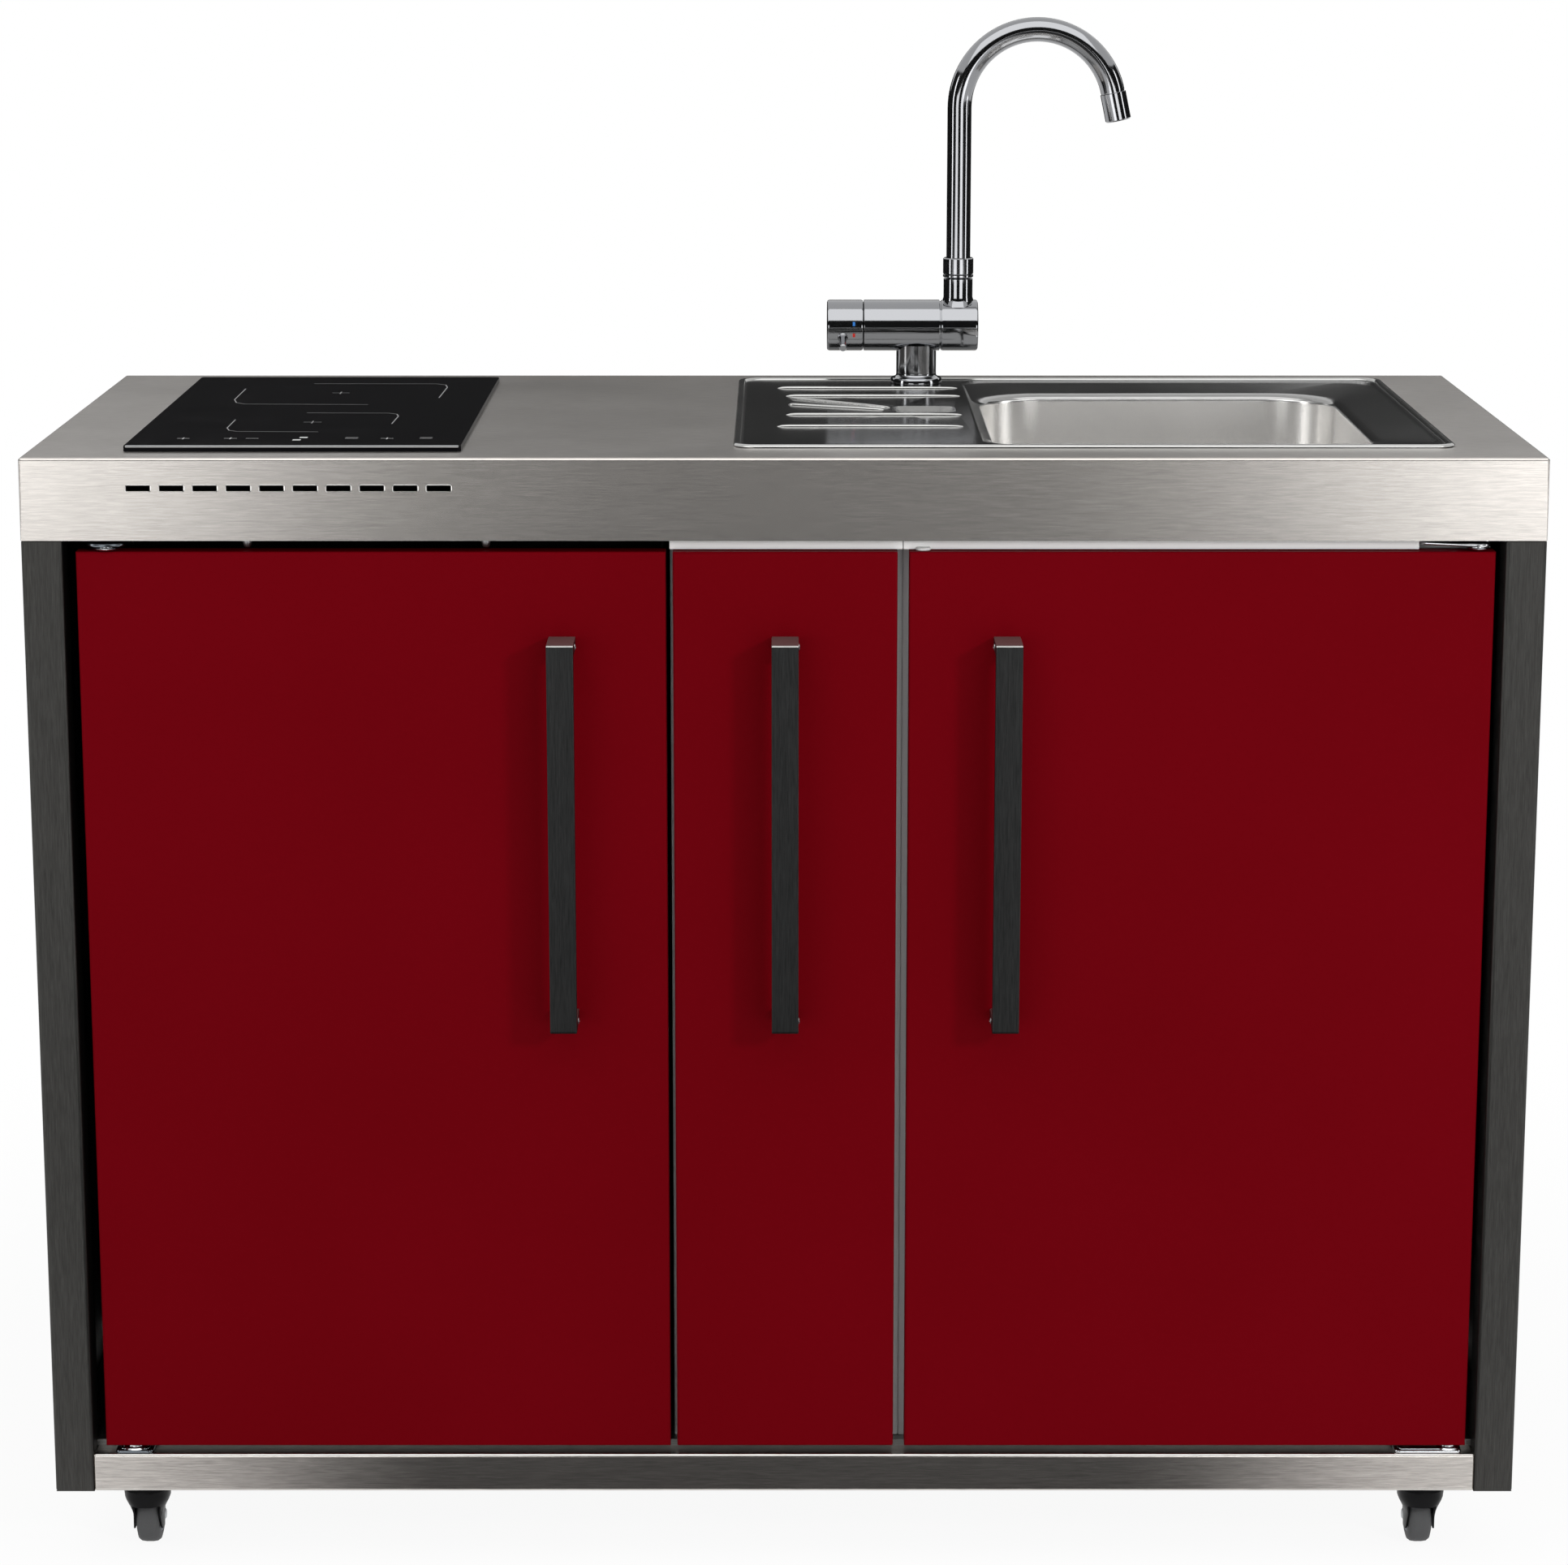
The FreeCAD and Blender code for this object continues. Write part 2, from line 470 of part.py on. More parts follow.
# Bowl: floor with the waste hole, straight walls up to the drainer, and corners with the drainer's sheet around them
def build_bowl():
    floor = rounded(box("bowl_x - sink_sheet", "bowl_y - sink_sheet", "bowl_z - sink_sheet",
                        "bowl_width + 2 * sink_sheet", "bowl_depth + 2 * sink_sheet", "sink_sheet"),
                    "z", "bowl_radius + sink_sheet")
    waste = rod("waste_x", "waste_y", "bowl_z - sink_sheet - overrun", "waste_radius",
                "sink_sheet + 2 * overrun")
    wall_height = "tray_z - bowl_z"
    along = [box("bowl_x + bowl_radius", y, "bowl_z", "bowl_width - 2 * bowl_radius", "sink_sheet", wall_height)
             for y in ("bowl_y - sink_sheet", "bowl_y + bowl_depth")]
    across = [box(x, "bowl_y + bowl_radius", "bowl_z", "sink_sheet", "bowl_depth - 2 * bowl_radius", wall_height)
              for x in ("bowl_x - sink_sheet", "bowl_x + bowl_width")]
    node("sink_bowl", group(cut(floor, waste), *along, *across))
    left, right = "bowl_x + bowl_radius", "bowl_x + bowl_width - bowl_radius"
    front, back = "bowl_y + bowl_radius", "bowl_y + bowl_depth - bowl_radius"
    reach = "bowl_radius + sink_sheet"
    corners = []
    for quarter, (x, y, low_x, low_y) in enumerate((
            (right, back, right, back), (left, back, f"{left} - ({reach})", back),
            (left, front, f"{left} - ({reach})", f"{front} - ({reach})"), (right, front, right, f"{front} - ({reach})"))):
        for index in range(CORNER_SLICES):
            number = quarter * CORNER_SLICES + index
            wall = slice_of(x, y, "bowl_z", reach, "tray_z - sink_sheet - bowl_z", number)
            deck = common(slice_of(x, y, "tray_z - sink_sheet", "2 * bowl_radius", "sink_sheet", number),
                          box(low_x, low_y, "tray_z - sink_sheet", reach, reach, "sink_sheet"))
            hollow = rod(x, y, "bowl_z - overrun", "bowl_radius", "bowl_height + 2 * overrun")
            corners.append(cut(fuse(wall, deck), hollow))
    node("sink_bowl_corners", group(*corners))


def build_waste():
    floor_z = "bowl_z"
    flange = rod("waste_x", "waste_y", floor_z, "waste_flange_radius", "waste_flange_height")
    cup = rod("waste_x", "waste_y", f"{floor_z} - waste_cup_height", "waste_radius - waste_clearance",
              "waste_cup_height")
    well = rod("waste_x", "waste_y", f"{floor_z} - waste_cup_height + waste_cup_wall",
               "waste_radius - waste_clearance - waste_cup_wall",
               "waste_cup_height + waste_flange_height")
    node("sink_strainer", cut(fuse(flange, cup), well))
    cup_z = f"{floor_z} - waste_cup_height"
    tail = rod("waste_x", "waste_y", f"{cup_z} - tail_length", "tail_radius", "tail_length")
    bottle = rod("waste_x", "waste_y", f"{cup_z} - tail_length - trap_height", "trap_radius", "trap_height")
    outlet = rod("waste_x", "waste_y", f"{cup_z} - tail_length - trap_height / 2", "outlet_radius",
                 "outlet_length", "y")
    node("sink_trap", fuse(tail, bottle, outlet))


# Mixer tap: stem, cross body with a turning end knob, and a swan-neck spout that swivels
def build_tap():
    barrel_length = "tap_body_left + tap_body_right"
    barrel = rod("tap_x - tap_body_left", "tap_y", "tap_z", "tap_body_radius", barrel_length, "x")
    groove_x = "tap_x + tap_body_right - tap_end_length"
    groove = cut(rod(groove_x, "tap_y", "tap_z", "tap_body_radius + overrun", "tap_groove", "x"),
                 rod(f"{groove_x} - overrun", "tap_y", "tap_z", "tap_body_radius - tap_groove",
                     "tap_groove + 2 * overrun", "x"))
    socket = rod("spout_x", "tap_y", "tap_z", "socket_radius", "socket_top")
    node("tap_body", fuse(cut(barrel, groove), socket))
    flange = rod("tap_x", "tap_y", "sink_top_z", "tap_flange_radius", "tap_flange_height")
    stem = rod("tap_x", "tap_y", "sink_top_z", "tap_stem_radius", "tap_z - sink_top_z")
    clear = rod("tap_x - tap_body_left - overrun", "tap_y", "tap_z", "tap_body_radius",
                f"{barrel_length} + 2 * overrun", "x")
    node("tap_base", cut(fuse(flange, stem), clear))
    shank = rod("tap_x", "tap_y", "sink_top_z - shank_length", "shank_radius", "shank_length")
    nut = rod("tap_x", "tap_y", "top_height - shank_nut_height", "shank_nut_radius", "shank_nut_height")
    node("tap_shank", fuse(shank, nut))
    knob_x = "tap_x - tap_body_left - tap_knob_gap - tap_knob_length"
    lever_x = f"{knob_x} + lever_inset"
    lever = doc.addObject("Part::Cylinder", "lever_pin")
    bind(lever, Radius="lever_radius", Height="tap_body_radius + lever_length")
    dip = FreeCAD.Rotation(FreeCAD.Vector(1, 0, 0), 90 + value("lever_dip"))
    lever.Placement.Rotation = dip
    place(lever, lever_x, "tap_y", "tap_z")
    knob = rod(knob_x, "tap_y", "tap_z", "tap_body_radius", "tap_knob_length", "x")
    core = rod(f"{knob_x} - overrun", "tap_y", "tap_z", "tap_body_radius - lever_radius",
               "tap_knob_length + 2 * overrun", "x")
    node("tap_knob", cut(knob, lever))
    node("tap_lever", cut(lever, core))
    build_spout()


def build_spout():
    foot, arc_z = "spout_foot_z", "arc_z"
    reach = value("spout_arc_sweep")
    tip_angle = math.radians(180 - reach)

    def neck(radius, extra):
        straight = rod("spout_x", "tap_y", f"{foot} - {extra}", radius, f"{arc_z} - ({foot}) + {extra}")
        bend = doc.addObject("Part::Torus", "bend")
        bind(bend, Radius1="spout_arc_radius", Radius2=radius, Angle3="spout_arc_sweep")
        upright = FreeCAD.Rotation(FreeCAD.Vector(1, 0, 0), 90)
        start = FreeCAD.Rotation(FreeCAD.Vector(0, 0, 1), math.degrees(tip_angle))
        bend.Placement.Rotation = upright.multiply(start)
        place(bend, "spout_x + spout_arc_radius", "tap_y", arc_z)
        return fuse(straight, bend)

    bore = neck("spout_radius - spout_wall", "0")
    node("tap_spout", cut(neck("spout_radius", "0"), bore))
    collar = rod("spout_x", "tap_y", foot, "collar_radius", "collar_height")
    node("tap_collar", cut(collar, rod("spout_x", "tap_y", f"{foot} - overrun", "spout_radius",
                                       "collar_height + 2 * overrun")))
    tip_x = "spout_x + spout_arc_radius + spout_arc_radius * cos(180 - spout_arc_sweep)"
    tip_z = "arc_z + spout_arc_radius * sin(180 - spout_arc_sweep)"
    rings = []
    for radius in ("aerator_radius", "aerator_radius - aerator_wall"):
        ring = doc.addObject("Part::Cylinder", "nozzle")
        bind(ring, Radius=radius, Height="aerator_length")
        ring.Placement.Rotation = FreeCAD.Rotation(FreeCAD.Vector(0, 1, 0), reach)
        rings.append(place(ring, tip_x, "tap_y", tip_z))
    node("tap_aerator", cut(*rings))


# Refrigerator: insulated cabinet, liner, glass shelves, compressor and the inner half of its door
def build_fridge():
    cabinet = box("fridge_x", "fridge_y", "base_top_z", "fridge_width", "fridge_depth", "fridge_height")
    cavity = ("cavity_x", "fridge_y", "cavity_z", "cavity_width", "cavity_depth", "cavity_height")
    opening = box("cavity_x", "fridge_y - overrun", "cavity_z", "cavity_width", "cavity_depth + overrun",
                  "cavity_height")
    node("fridge_cabinet", cut(cabinet, opening))
    room = box("cavity_x + fridge_liner_wall", "fridge_y - overrun", "cavity_z + fridge_liner_wall",
               "cavity_width - 2 * fridge_liner_wall", "cavity_depth - fridge_liner_wall + overrun",
               "cavity_height - 2 * fridge_liner_wall")
    node("fridge_liner", cut(box(*cavity), room))
    shelves = [box("cavity_x + fridge_liner_wall + shelf_clearance",
                   "fridge_y + cavity_depth - fridge_liner_wall - shelf_clearance - shelf_depth",
                   f"cavity_z + cavity_height * {share}",
                   "cavity_width - 2 * fridge_liner_wall - 2 * shelf_clearance", "shelf_depth", "shelf_thickness")
               for share in SHELF_SHARES]
    node("fridge_shelves", group(*shelves))
    node("fridge_compressor", rod("fridge_x + compressor_side", "back_y - compressor_inset", "base_top_z",
                                  "compressor_radius", "compressor_height"))
    inner_x = "fridge_front_x + door_liner_inset"
    inner_z = "door_foot_z + door_liner_inset"
    inner_width = "fridge_front_width - 2 * door_liner_inset"
    inner_height = "door_height - 2 * door_liner_inset"
    slab = box(inner_x, "door_back_y", inner_z, inner_width, "door_liner_depth", inner_height)
    bins = box("cavity_x + door_liner_wall", "door_back_y + door_liner_depth - door_bin_depth",
               "cavity_z + door_liner_wall", "cavity_width - 2 * door_liner_wall", "door_bin_depth + overrun",
               "cavity_height - 2 * door_liner_wall")
    node("fridge_door_liner", cut(slab, bins))
    seal = box("fridge_front_x + gasket_inset", "door_back_y + door_liner_depth", "door_foot_z + gasket_inset",
               "fridge_front_width - 2 * gasket_inset", "gasket_depth", "door_height - 2 * gasket_inset")
    inside = "gasket_inset + gasket_width"
    window = box(f"fridge_front_x + {inside}", "door_back_y + door_liner_depth - overrun",
                 f"door_foot_z + {inside}", f"fridge_front_width - 2 * ({inside})", "gasket_depth + 2 * overrun",
                 f"door_height - 2 * ({inside})")
    node("fridge_door_gasket", cut(seal, window))


# Pivot hinges: a top arm on the cabinet and a foot plate on the rail, each with a pin into the door
def build_hinges(label, pivot_x, plate_x, plate_length, carrier_y, carrier_z):
    arm_y = "pivot_y - hinge_nose"
    arm = box(plate_x, arm_y, "hinge_top_z", plate_length, f"{carrier_y} + hinge_seat - ({arm_y})", "hinge_plate")
    riser = box(plate_x, carrier_y, carrier_z, plate_length, "hinge_seat", f"hinge_top_z - ({carrier_z})")
    top_pin = rod(pivot_x, "pivot_y", "door_top_z - pivot_depth", "pivot_radius", "pivot_depth + hinge_rise")
    top_bush = rod(pivot_x, "pivot_y", "door_top_z + pivot_play", "bush_radius", "hinge_rise - pivot_play")
    foot = box(plate_x, "pivot_y - hinge_foot", "rail_top_z", plate_length,
               "front_y + base_inset - (pivot_y - hinge_foot)", "hinge_plate")
    foot_pin = rod(pivot_x, "pivot_y", "rail_top_z", "pivot_radius", "door_foot_gap + pivot_depth")
    foot_bush = rod(pivot_x, "pivot_y", "rail_top_z", "bush_radius", "door_foot_gap - pivot_play")
    node(label, group(fuse(arm, riser, top_pin, top_bush), fuse(foot, foot_pin, foot_bush)))


# Carcasses: white steel boxes, open in front; the sink's one is open above too
def build_carcasses():
    inner_height = "carcass_height - 2 * carcass_wall"
    shells = (("pullout_cabinet", "pullout_carcass_x", "pullout_carcass_width"),
              ("sink_cabinet", "sink_carcass_x", "sink_carcass_width"))
    for label, x, width in shells:
        shell = box(x, "carcass_y", "base_top_z", width, "carcass_depth", "carcass_height")
        room = box(f"{x} + carcass_wall", "carcass_y - overrun", "base_top_z + carcass_wall",
                   f"{width} - 2 * carcass_wall", "carcass_depth - carcass_wall + overrun", inner_height)
        bay = box("bowl_x - sink_sheet - bowl_clearance", "bowl_y - sink_sheet - bowl_clearance",
                  "bowl_z - sink_sheet - bowl_clearance", "bowl_width + 2 * (sink_sheet + bowl_clearance)",
                  "bowl_depth + 2 * (sink_sheet + bowl_clearance)", "bowl_height + overrun")
        tools = [room, bay]
        if label == "sink_cabinet":
            tools.append(box(f"{x} + carcass_wall", "carcass_y + carcass_apron",
                             "base_top_z + carcass_height - carcass_wall - overrun",
                             f"{width} - 2 * carcass_wall", "carcass_depth - carcass_wall - carcass_apron",
                             "carcass_wall + 2 * overrun"))
        node(label, cut(shell, *tools))


# Pull-out: frame plate behind its front, two trays, and runners whose slides move with it
def build_pullout():
    node("pullout_frame", box("pullout_tray_x", "door_back_y", "door_foot_z + frame_plate_margin",
                              "pullout_tray_width", "frame_plate", "door_height - 2 * frame_plate_margin"))
    trays, tracks, slides = [], [], []
    tray_y = "pullout_tray_y"
    for rise in ("lower_runner_rise", "upper_runner_rise"):
        runner_z = f"base_top_z + carcass_wall + {rise}"
        tray_z = f"{runner_z} - tray_runner_drop"
        tray = box("pullout_tray_x", tray_y, tray_z, "pullout_tray_width", "pullout_tray_depth", "pullout_tray_height")
        room = box("pullout_tray_x + pullout_tray_wall", f"{tray_y} + pullout_tray_wall",
                   f"{tray_z} + pullout_tray_wall", "pullout_tray_width - 2 * pullout_tray_wall",
                   "pullout_tray_depth - 2 * pullout_tray_wall", "pullout_tray_height")
        trays.append(cut(tray, room))
        left_x = "pullout_carcass_x + carcass_wall"
        right_x = "pullout_carcass_x + pullout_carcass_width - carcass_wall - runner_width"
        groove_z = f"{runner_z} + (runner_height - runner_groove_height) / 2"
        bar_height = "runner_groove_height - 2 * runner_play"
        bar_width = "runner_groove_depth - runner_play + slide_proud"
        left_groove_x = f"{left_x} + runner_width - runner_groove_depth"
        sides = ((left_x, left_groove_x, f"{left_groove_x} + runner_play"),
                 (right_x, f"{right_x} - overrun", f"{right_x} - slide_proud"))
        for track_x, groove_x, bar_x in sides:
            track = box(track_x, "runner_y", runner_z, "runner_width", "runner_length", "runner_height")
            groove = box(groove_x, "runner_y - overrun", groove_z, "runner_groove_depth + overrun",
                         "runner_length + 2 * overrun", "runner_groove_height")
            tracks.append(cut(track, groove))
            slides.append(box(bar_x, "runner_y", f"{groove_z} + runner_play", bar_width,
                              f"{tray_y} + pullout_tray_depth - (runner_y)", bar_height))
    node("pullout_trays", group(*trays))
    node("runner_tracks", group(*tracks))
    node("runner_slides", group(*slides))


# Casters: plate under the frame, swivelling fork with its axle, wheel, and a pedal on the front pair
def build_casters():
    corners = {"front_left": ("left_x + caster_inset_x", "front_y + caster_inset_y"),
               "front_right": ("right_x - caster_inset_x", "front_y + caster_inset_y"),
               "rear_left": ("left_x + caster_inset_x", "back_y - caster_inset_y"),
               "rear_right": ("right_x - caster_inset_x", "back_y - caster_inset_y")}
    plates = []
    for name, (x, y) in corners.items():
        plate = box(f"{x} - caster_plate_size / 2", f"{y} - caster_plate_size / 2",
                    "caster_height - caster_plate_sheet", "caster_plate_size", "caster_plate_size",
                    "caster_plate_sheet")
        pin = rod(x, y, "fork_top_z - caster_crown_height / 2", "kingpin_radius", "caster_crown_height / 2 + overrun")
        plates.append(fuse(plate, pin))
        build_caster(name, x, y)
    node("caster_plates", group(*plates))


def build_caster(name, x, y):
    wheel_y = f"{y} + caster_trail"
    leg_width = "fork_leg_back + caster_trail + fork_leg_ahead"
    leg_z = "wheel_radius - fork_leg_drop"
    crown = rod(x, y, "fork_top_z - caster_crown_height", "caster_crown_radius", "caster_crown_height")
    kingpin_hole = rod(x, y, "fork_top_z - caster_crown_height / 2 - caster_swivel_gap",
                       "kingpin_radius + axle_clearance", "caster_crown_height")
    legs = [box(leg_x, f"{y} - fork_leg_back", leg_z, "fork_leg", leg_width, f"fork_top_z - ({leg_z})")
            for leg_x in (f"{x} - fork_gap_half - fork_leg", f"{x} + fork_gap_half")]
    axle_span = "2 * (fork_gap_half + fork_leg)"
    axle = rod(f"{x} - fork_gap_half - fork_leg", wheel_y, "wheel_radius", "axle_radius", axle_span, "x")
    pedal_y = f"{wheel_y} + pedal_pin_ahead"
    pedal_pin = rod(f"{x} - fork_gap_half - fork_leg", pedal_y, "pedal_pin_z", "pedal_pin_radius", axle_span, "x")
    braked = name.startswith("front")
    holes = [kingpin_hole, axle] + ([pedal_pin] if braked else [])
    pins = [axle] + ([pedal_pin] if braked else [])
    node(f"caster_fork_{name}", group(cut(fuse(crown, *legs), *holes), *pins))
    tyre = rounded(rod(f"{x} - wheel_width / 2", wheel_y, "wheel_radius", "wheel_radius", "wheel_width", "x"),
                   "rims", "wheel_edge_radius")
    seat = rod(f"{x} - wheel_width / 2 - overrun", wheel_y, "wheel_radius", "hub_radius",
               "wheel_width + 2 * overrun", "x")
    hub = rod(f"{x} - wheel_width / 2 - hub_proud", wheel_y, "wheel_radius", "hub_radius",
              "wheel_width + 2 * hub_proud", "x")
    bore = rod(f"{x} - wheel_width", wheel_y, "wheel_radius", "axle_radius + axle_clearance", "2 * wheel_width", "x")
    node(f"caster_wheel_{name}", group(cut(tyre, seat), cut(hub, bore)))
    if braked:
        pad = box(f"{x} - fork_gap_half + pedal_play", f"{pedal_y} - pedal_thickness",
                  "pedal_pin_z - pedal_thickness / 2", "2 * (fork_gap_half - pedal_play)", "pedal_length",
                  "pedal_thickness")
        hole = rod(f"{x} - fork_gap_half - fork_leg", pedal_y, "pedal_pin_z", "pedal_pin_radius + axle_clearance",
                   axle_span, "x")
        barrel = rod(f"{x} - fork_gap_half + pedal_play", pedal_y, "pedal_pin_z", "pedal_thickness",
                     "2 * (fork_gap_half - pedal_play)", "x")
        node(f"caster_brake_{name}", cut(fuse(pad, barrel), hole))


build_frame()
build_panels()
build_worktop()
build_front("fridge_door", "fridge_front_x", "fridge_front_width", "fridge_pivot_x")
build_front("pullout_front", "pullout_front_x", "pullout_front_width")
build_front("sink_door", "sink_front_x", "sink_front_width", "sink_pivot_x")
build_handle("fridge_handle", "fridge_front_x + fridge_front_width - fridge_handle_inset")
build_handle("pullout_handle", "pullout_front_x + pullout_front_width / 2")
build_handle("sink_door_handle", "sink_front_x + sink_handle_inset")
build_hob()
build_sink()
build_bowl()
build_waste()
build_tap()
build_fridge()
build_carcasses()
build_pullout()
build_hinges("fridge_hinges", "fridge_pivot_x", "fridge_pivot_x - hinge_width / 2", "hinge_width", "fridge_y",
             "base_top_z + fridge_height")
build_hinges("sink_door_hinges", "sink_pivot_x", "sink_pivot_x + hinge_nose - sink_hinge_arm", "sink_hinge_arm",
             "carcass_y", "base_top_z + carcass_height")
build_casters()
doc.recompute()

faults = [item.Name for item in doc.Objects if "Invalid" in item.State or "Error" in item.State]
faults += [label for label, item in nodes.items() if item.Shape.isNull() or not item.Shape.isValid()]
if faults:
    raise SystemExit(f"not built: {faults}")

os.makedirs("parts", exist_ok=True)
for label, item in nodes.items():
    item.Shape.exportStep(os.path.join("parts", label + ".step"))
print(len(nodes), "nodes,", sum(len(item.Shape.Solids) for item in nodes.values()), "solids")
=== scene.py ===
import math
from types import SimpleNamespace

import bmesh
import bpy
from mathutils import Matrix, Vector


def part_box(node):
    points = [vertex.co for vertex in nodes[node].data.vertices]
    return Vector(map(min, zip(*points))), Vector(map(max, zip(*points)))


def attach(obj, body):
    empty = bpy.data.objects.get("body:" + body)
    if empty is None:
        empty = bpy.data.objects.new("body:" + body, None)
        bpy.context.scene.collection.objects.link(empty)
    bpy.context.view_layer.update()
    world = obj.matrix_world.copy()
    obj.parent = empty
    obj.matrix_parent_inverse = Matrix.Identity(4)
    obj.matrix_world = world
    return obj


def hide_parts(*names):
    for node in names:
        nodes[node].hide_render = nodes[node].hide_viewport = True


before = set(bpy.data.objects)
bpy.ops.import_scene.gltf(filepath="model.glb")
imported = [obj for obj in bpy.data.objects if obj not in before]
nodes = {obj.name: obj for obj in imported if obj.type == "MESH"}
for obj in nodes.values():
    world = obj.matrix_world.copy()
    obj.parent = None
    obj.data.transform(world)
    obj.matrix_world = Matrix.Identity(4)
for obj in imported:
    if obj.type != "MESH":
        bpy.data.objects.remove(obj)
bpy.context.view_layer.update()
scene = bpy.context.scene
xAxis, zAxis = (1, 0, 0), (0, 0, 1)


def named(settings):
    return SimpleNamespace(**settings)


print("frame loaded:", len(nodes), "nodes")


# nodes: an input takes a constant, a socket, or a node whose first output feeds it
def feed(tree, node, inputs):
    for name, value in inputs.items():
        if isinstance(value, bpy.types.Node):
            value = value.outputs[0]
        if isinstance(value, bpy.types.NodeSocket):
            tree.links.new(value, node.inputs[name])
        else:
            node.inputs[name].default_value = value


def addNode(tree, kind, inputs=None, **properties):
    node = tree.nodes.new(kind)
    for name, value in properties.items():
        setattr(node, name, value)
    feed(tree, node, inputs or {})
    return node


# materials
grains = {"x": (60, 1300, 1300), "y": (1300, 60, 1300), "z": (1300, 1300, 60)}  # features per metre
streaks = {"x": (18, 560, 560), "y": (560, 18, 560), "z": (560, 560, 18)}


def newMaterial(name, colour, roughness, **more):
    material = bpy.data.materials.new(name)
    material.use_nodes = True
    tree = material.node_tree
    shader = tree.nodes["Principled BSDF"]
    inputs = {"Base Color": (*colour, 1), "Roughness": roughness, **more}
    feed(tree, shader, inputs)
    return material, tree, shader


def noiseOn(tree, stretch, detail, rough=0.6):
    # noise in the piece's own coordinates, stretched along its grain
    coords = addNode(tree, "ShaderNodeTexCoord").outputs["Object"]
    mapping = addNode(tree, "ShaderNodeMapping", {"Vector": coords, "Scale": stretch})
    inputs = {"Vector": mapping, "Scale": 1.0, "Detail": detail, "Roughness": rough}
    return addNode(tree, "ShaderNodeTexNoise", inputs)


def spread(tree, factor, low, high, near=0.3, far=0.7):
    inputs = {"Value": factor, "From Min": near, "From Max": far, "To Min": low, "To Max": high}
    return addNode(tree, "ShaderNodeMapRange", inputs)


def shade(tree, shader, factor, first, second):
    # of the mix node, sockets 6 and 7 take the two colours and output 2 gives the mixed one
    inputs = {0: spread(tree, factor, 0.0, 1.0), 6: (*first, 1), 7: (*second, 1)}
    mix = addNode(tree, "ShaderNodeMix", inputs, data_type="RGBA")
    feed(tree, shader, {"Base Color": mix.outputs[2]})


def roughen(tree, shader, factor, low, high):
    feed(tree, shader, {"Roughness": spread(tree, factor, low, high)})


def raiseGrain(tree, shader, factor, strength, depth):
    bump = addNode(tree, "ShaderNodeBump", {"Strength": strength, "Distance": depth, "Height": factor})
    feed(tree, shader, {"Normal": bump})


def brushedSteel(name, colour, roughness, grain, strength, contrast, streakShare=0.22, drift=0.012, depth=0.0004,
                 detail=4.0, patch=7):
    material, tree, shader = newMaterial(name, colour, roughness, Metallic=1.0)
    lines, bands = (noiseOn(tree, table[grain], detail) for table in (grains, streaks))
    fine = addNode(tree, "ShaderNodeMix", {0: streakShare, 2: lines, 3: bands})
    light = [min(1, part * (1 + contrast)) for part in colour]
    shade(tree, shader, fine, [part * (1 - contrast) for part in colour], light)
    roughen(tree, shader, noiseOn(tree, (patch,) * 3, 3.0), roughness - drift, roughness + drift)
    raiseGrain(tree, shader, fine, strength, depth)
    return material


def paint(name, first, second, roughness, specular=0.3, peel=0.05, peelScale=420, drift=0.04, depth=0.0003, patch=3):
    material, tree, shader = newMaterial(name, first, roughness, **{"Specular IOR Level": specular})
    skin = noiseOn(tree, (peelScale,) * 3, 2.0)
    shade(tree, shader, noiseOn(tree, (patch,) * 3, 2.0), first, second)
    roughen(tree, shader, skin, roughness - drift, roughness + drift)
    raiseGrain(tree, shader, skin, peel, depth)
    return material


def moulded(name, colour, roughness, scale=900, bump=0.08, specular=0.3, drift=0.06, depth=0.0003, darker=0.86):
    material, tree, shader = newMaterial(name, colour, roughness, **{"Specular IOR Level": specular})
    grain = noiseOn(tree, (scale,) * 3, 3.0)
    shade(tree, shader, grain, [part * darker for part in colour], colour)
    roughen(tree, shader, grain, roughness - drift, roughness + drift)
    raiseGrain(tree, shader, grain, bump, depth)
    return material


def polished(name, colour, roughness, least=0.8, most=1.2, patch=14):
    material, tree, shader = newMaterial(name, colour, roughness, Metallic=1.0)
    roughen(tree, shader, noiseOn(tree, (patch,) * 3, 2.0), roughness * least, roughness * most)
    return material


def glass(name, colour, roughness, transmission, specular, least=0.7, most=1.4, patch=25):
    more = {"Transmission Weight": transmission, "Specular IOR Level": specular}
    material, tree, shader = newMaterial(name, colour, roughness, **more)
    roughen(tree, shader, noiseOn(tree, (patch,) * 3, 3.0), roughness * least, roughness * most)
    return material


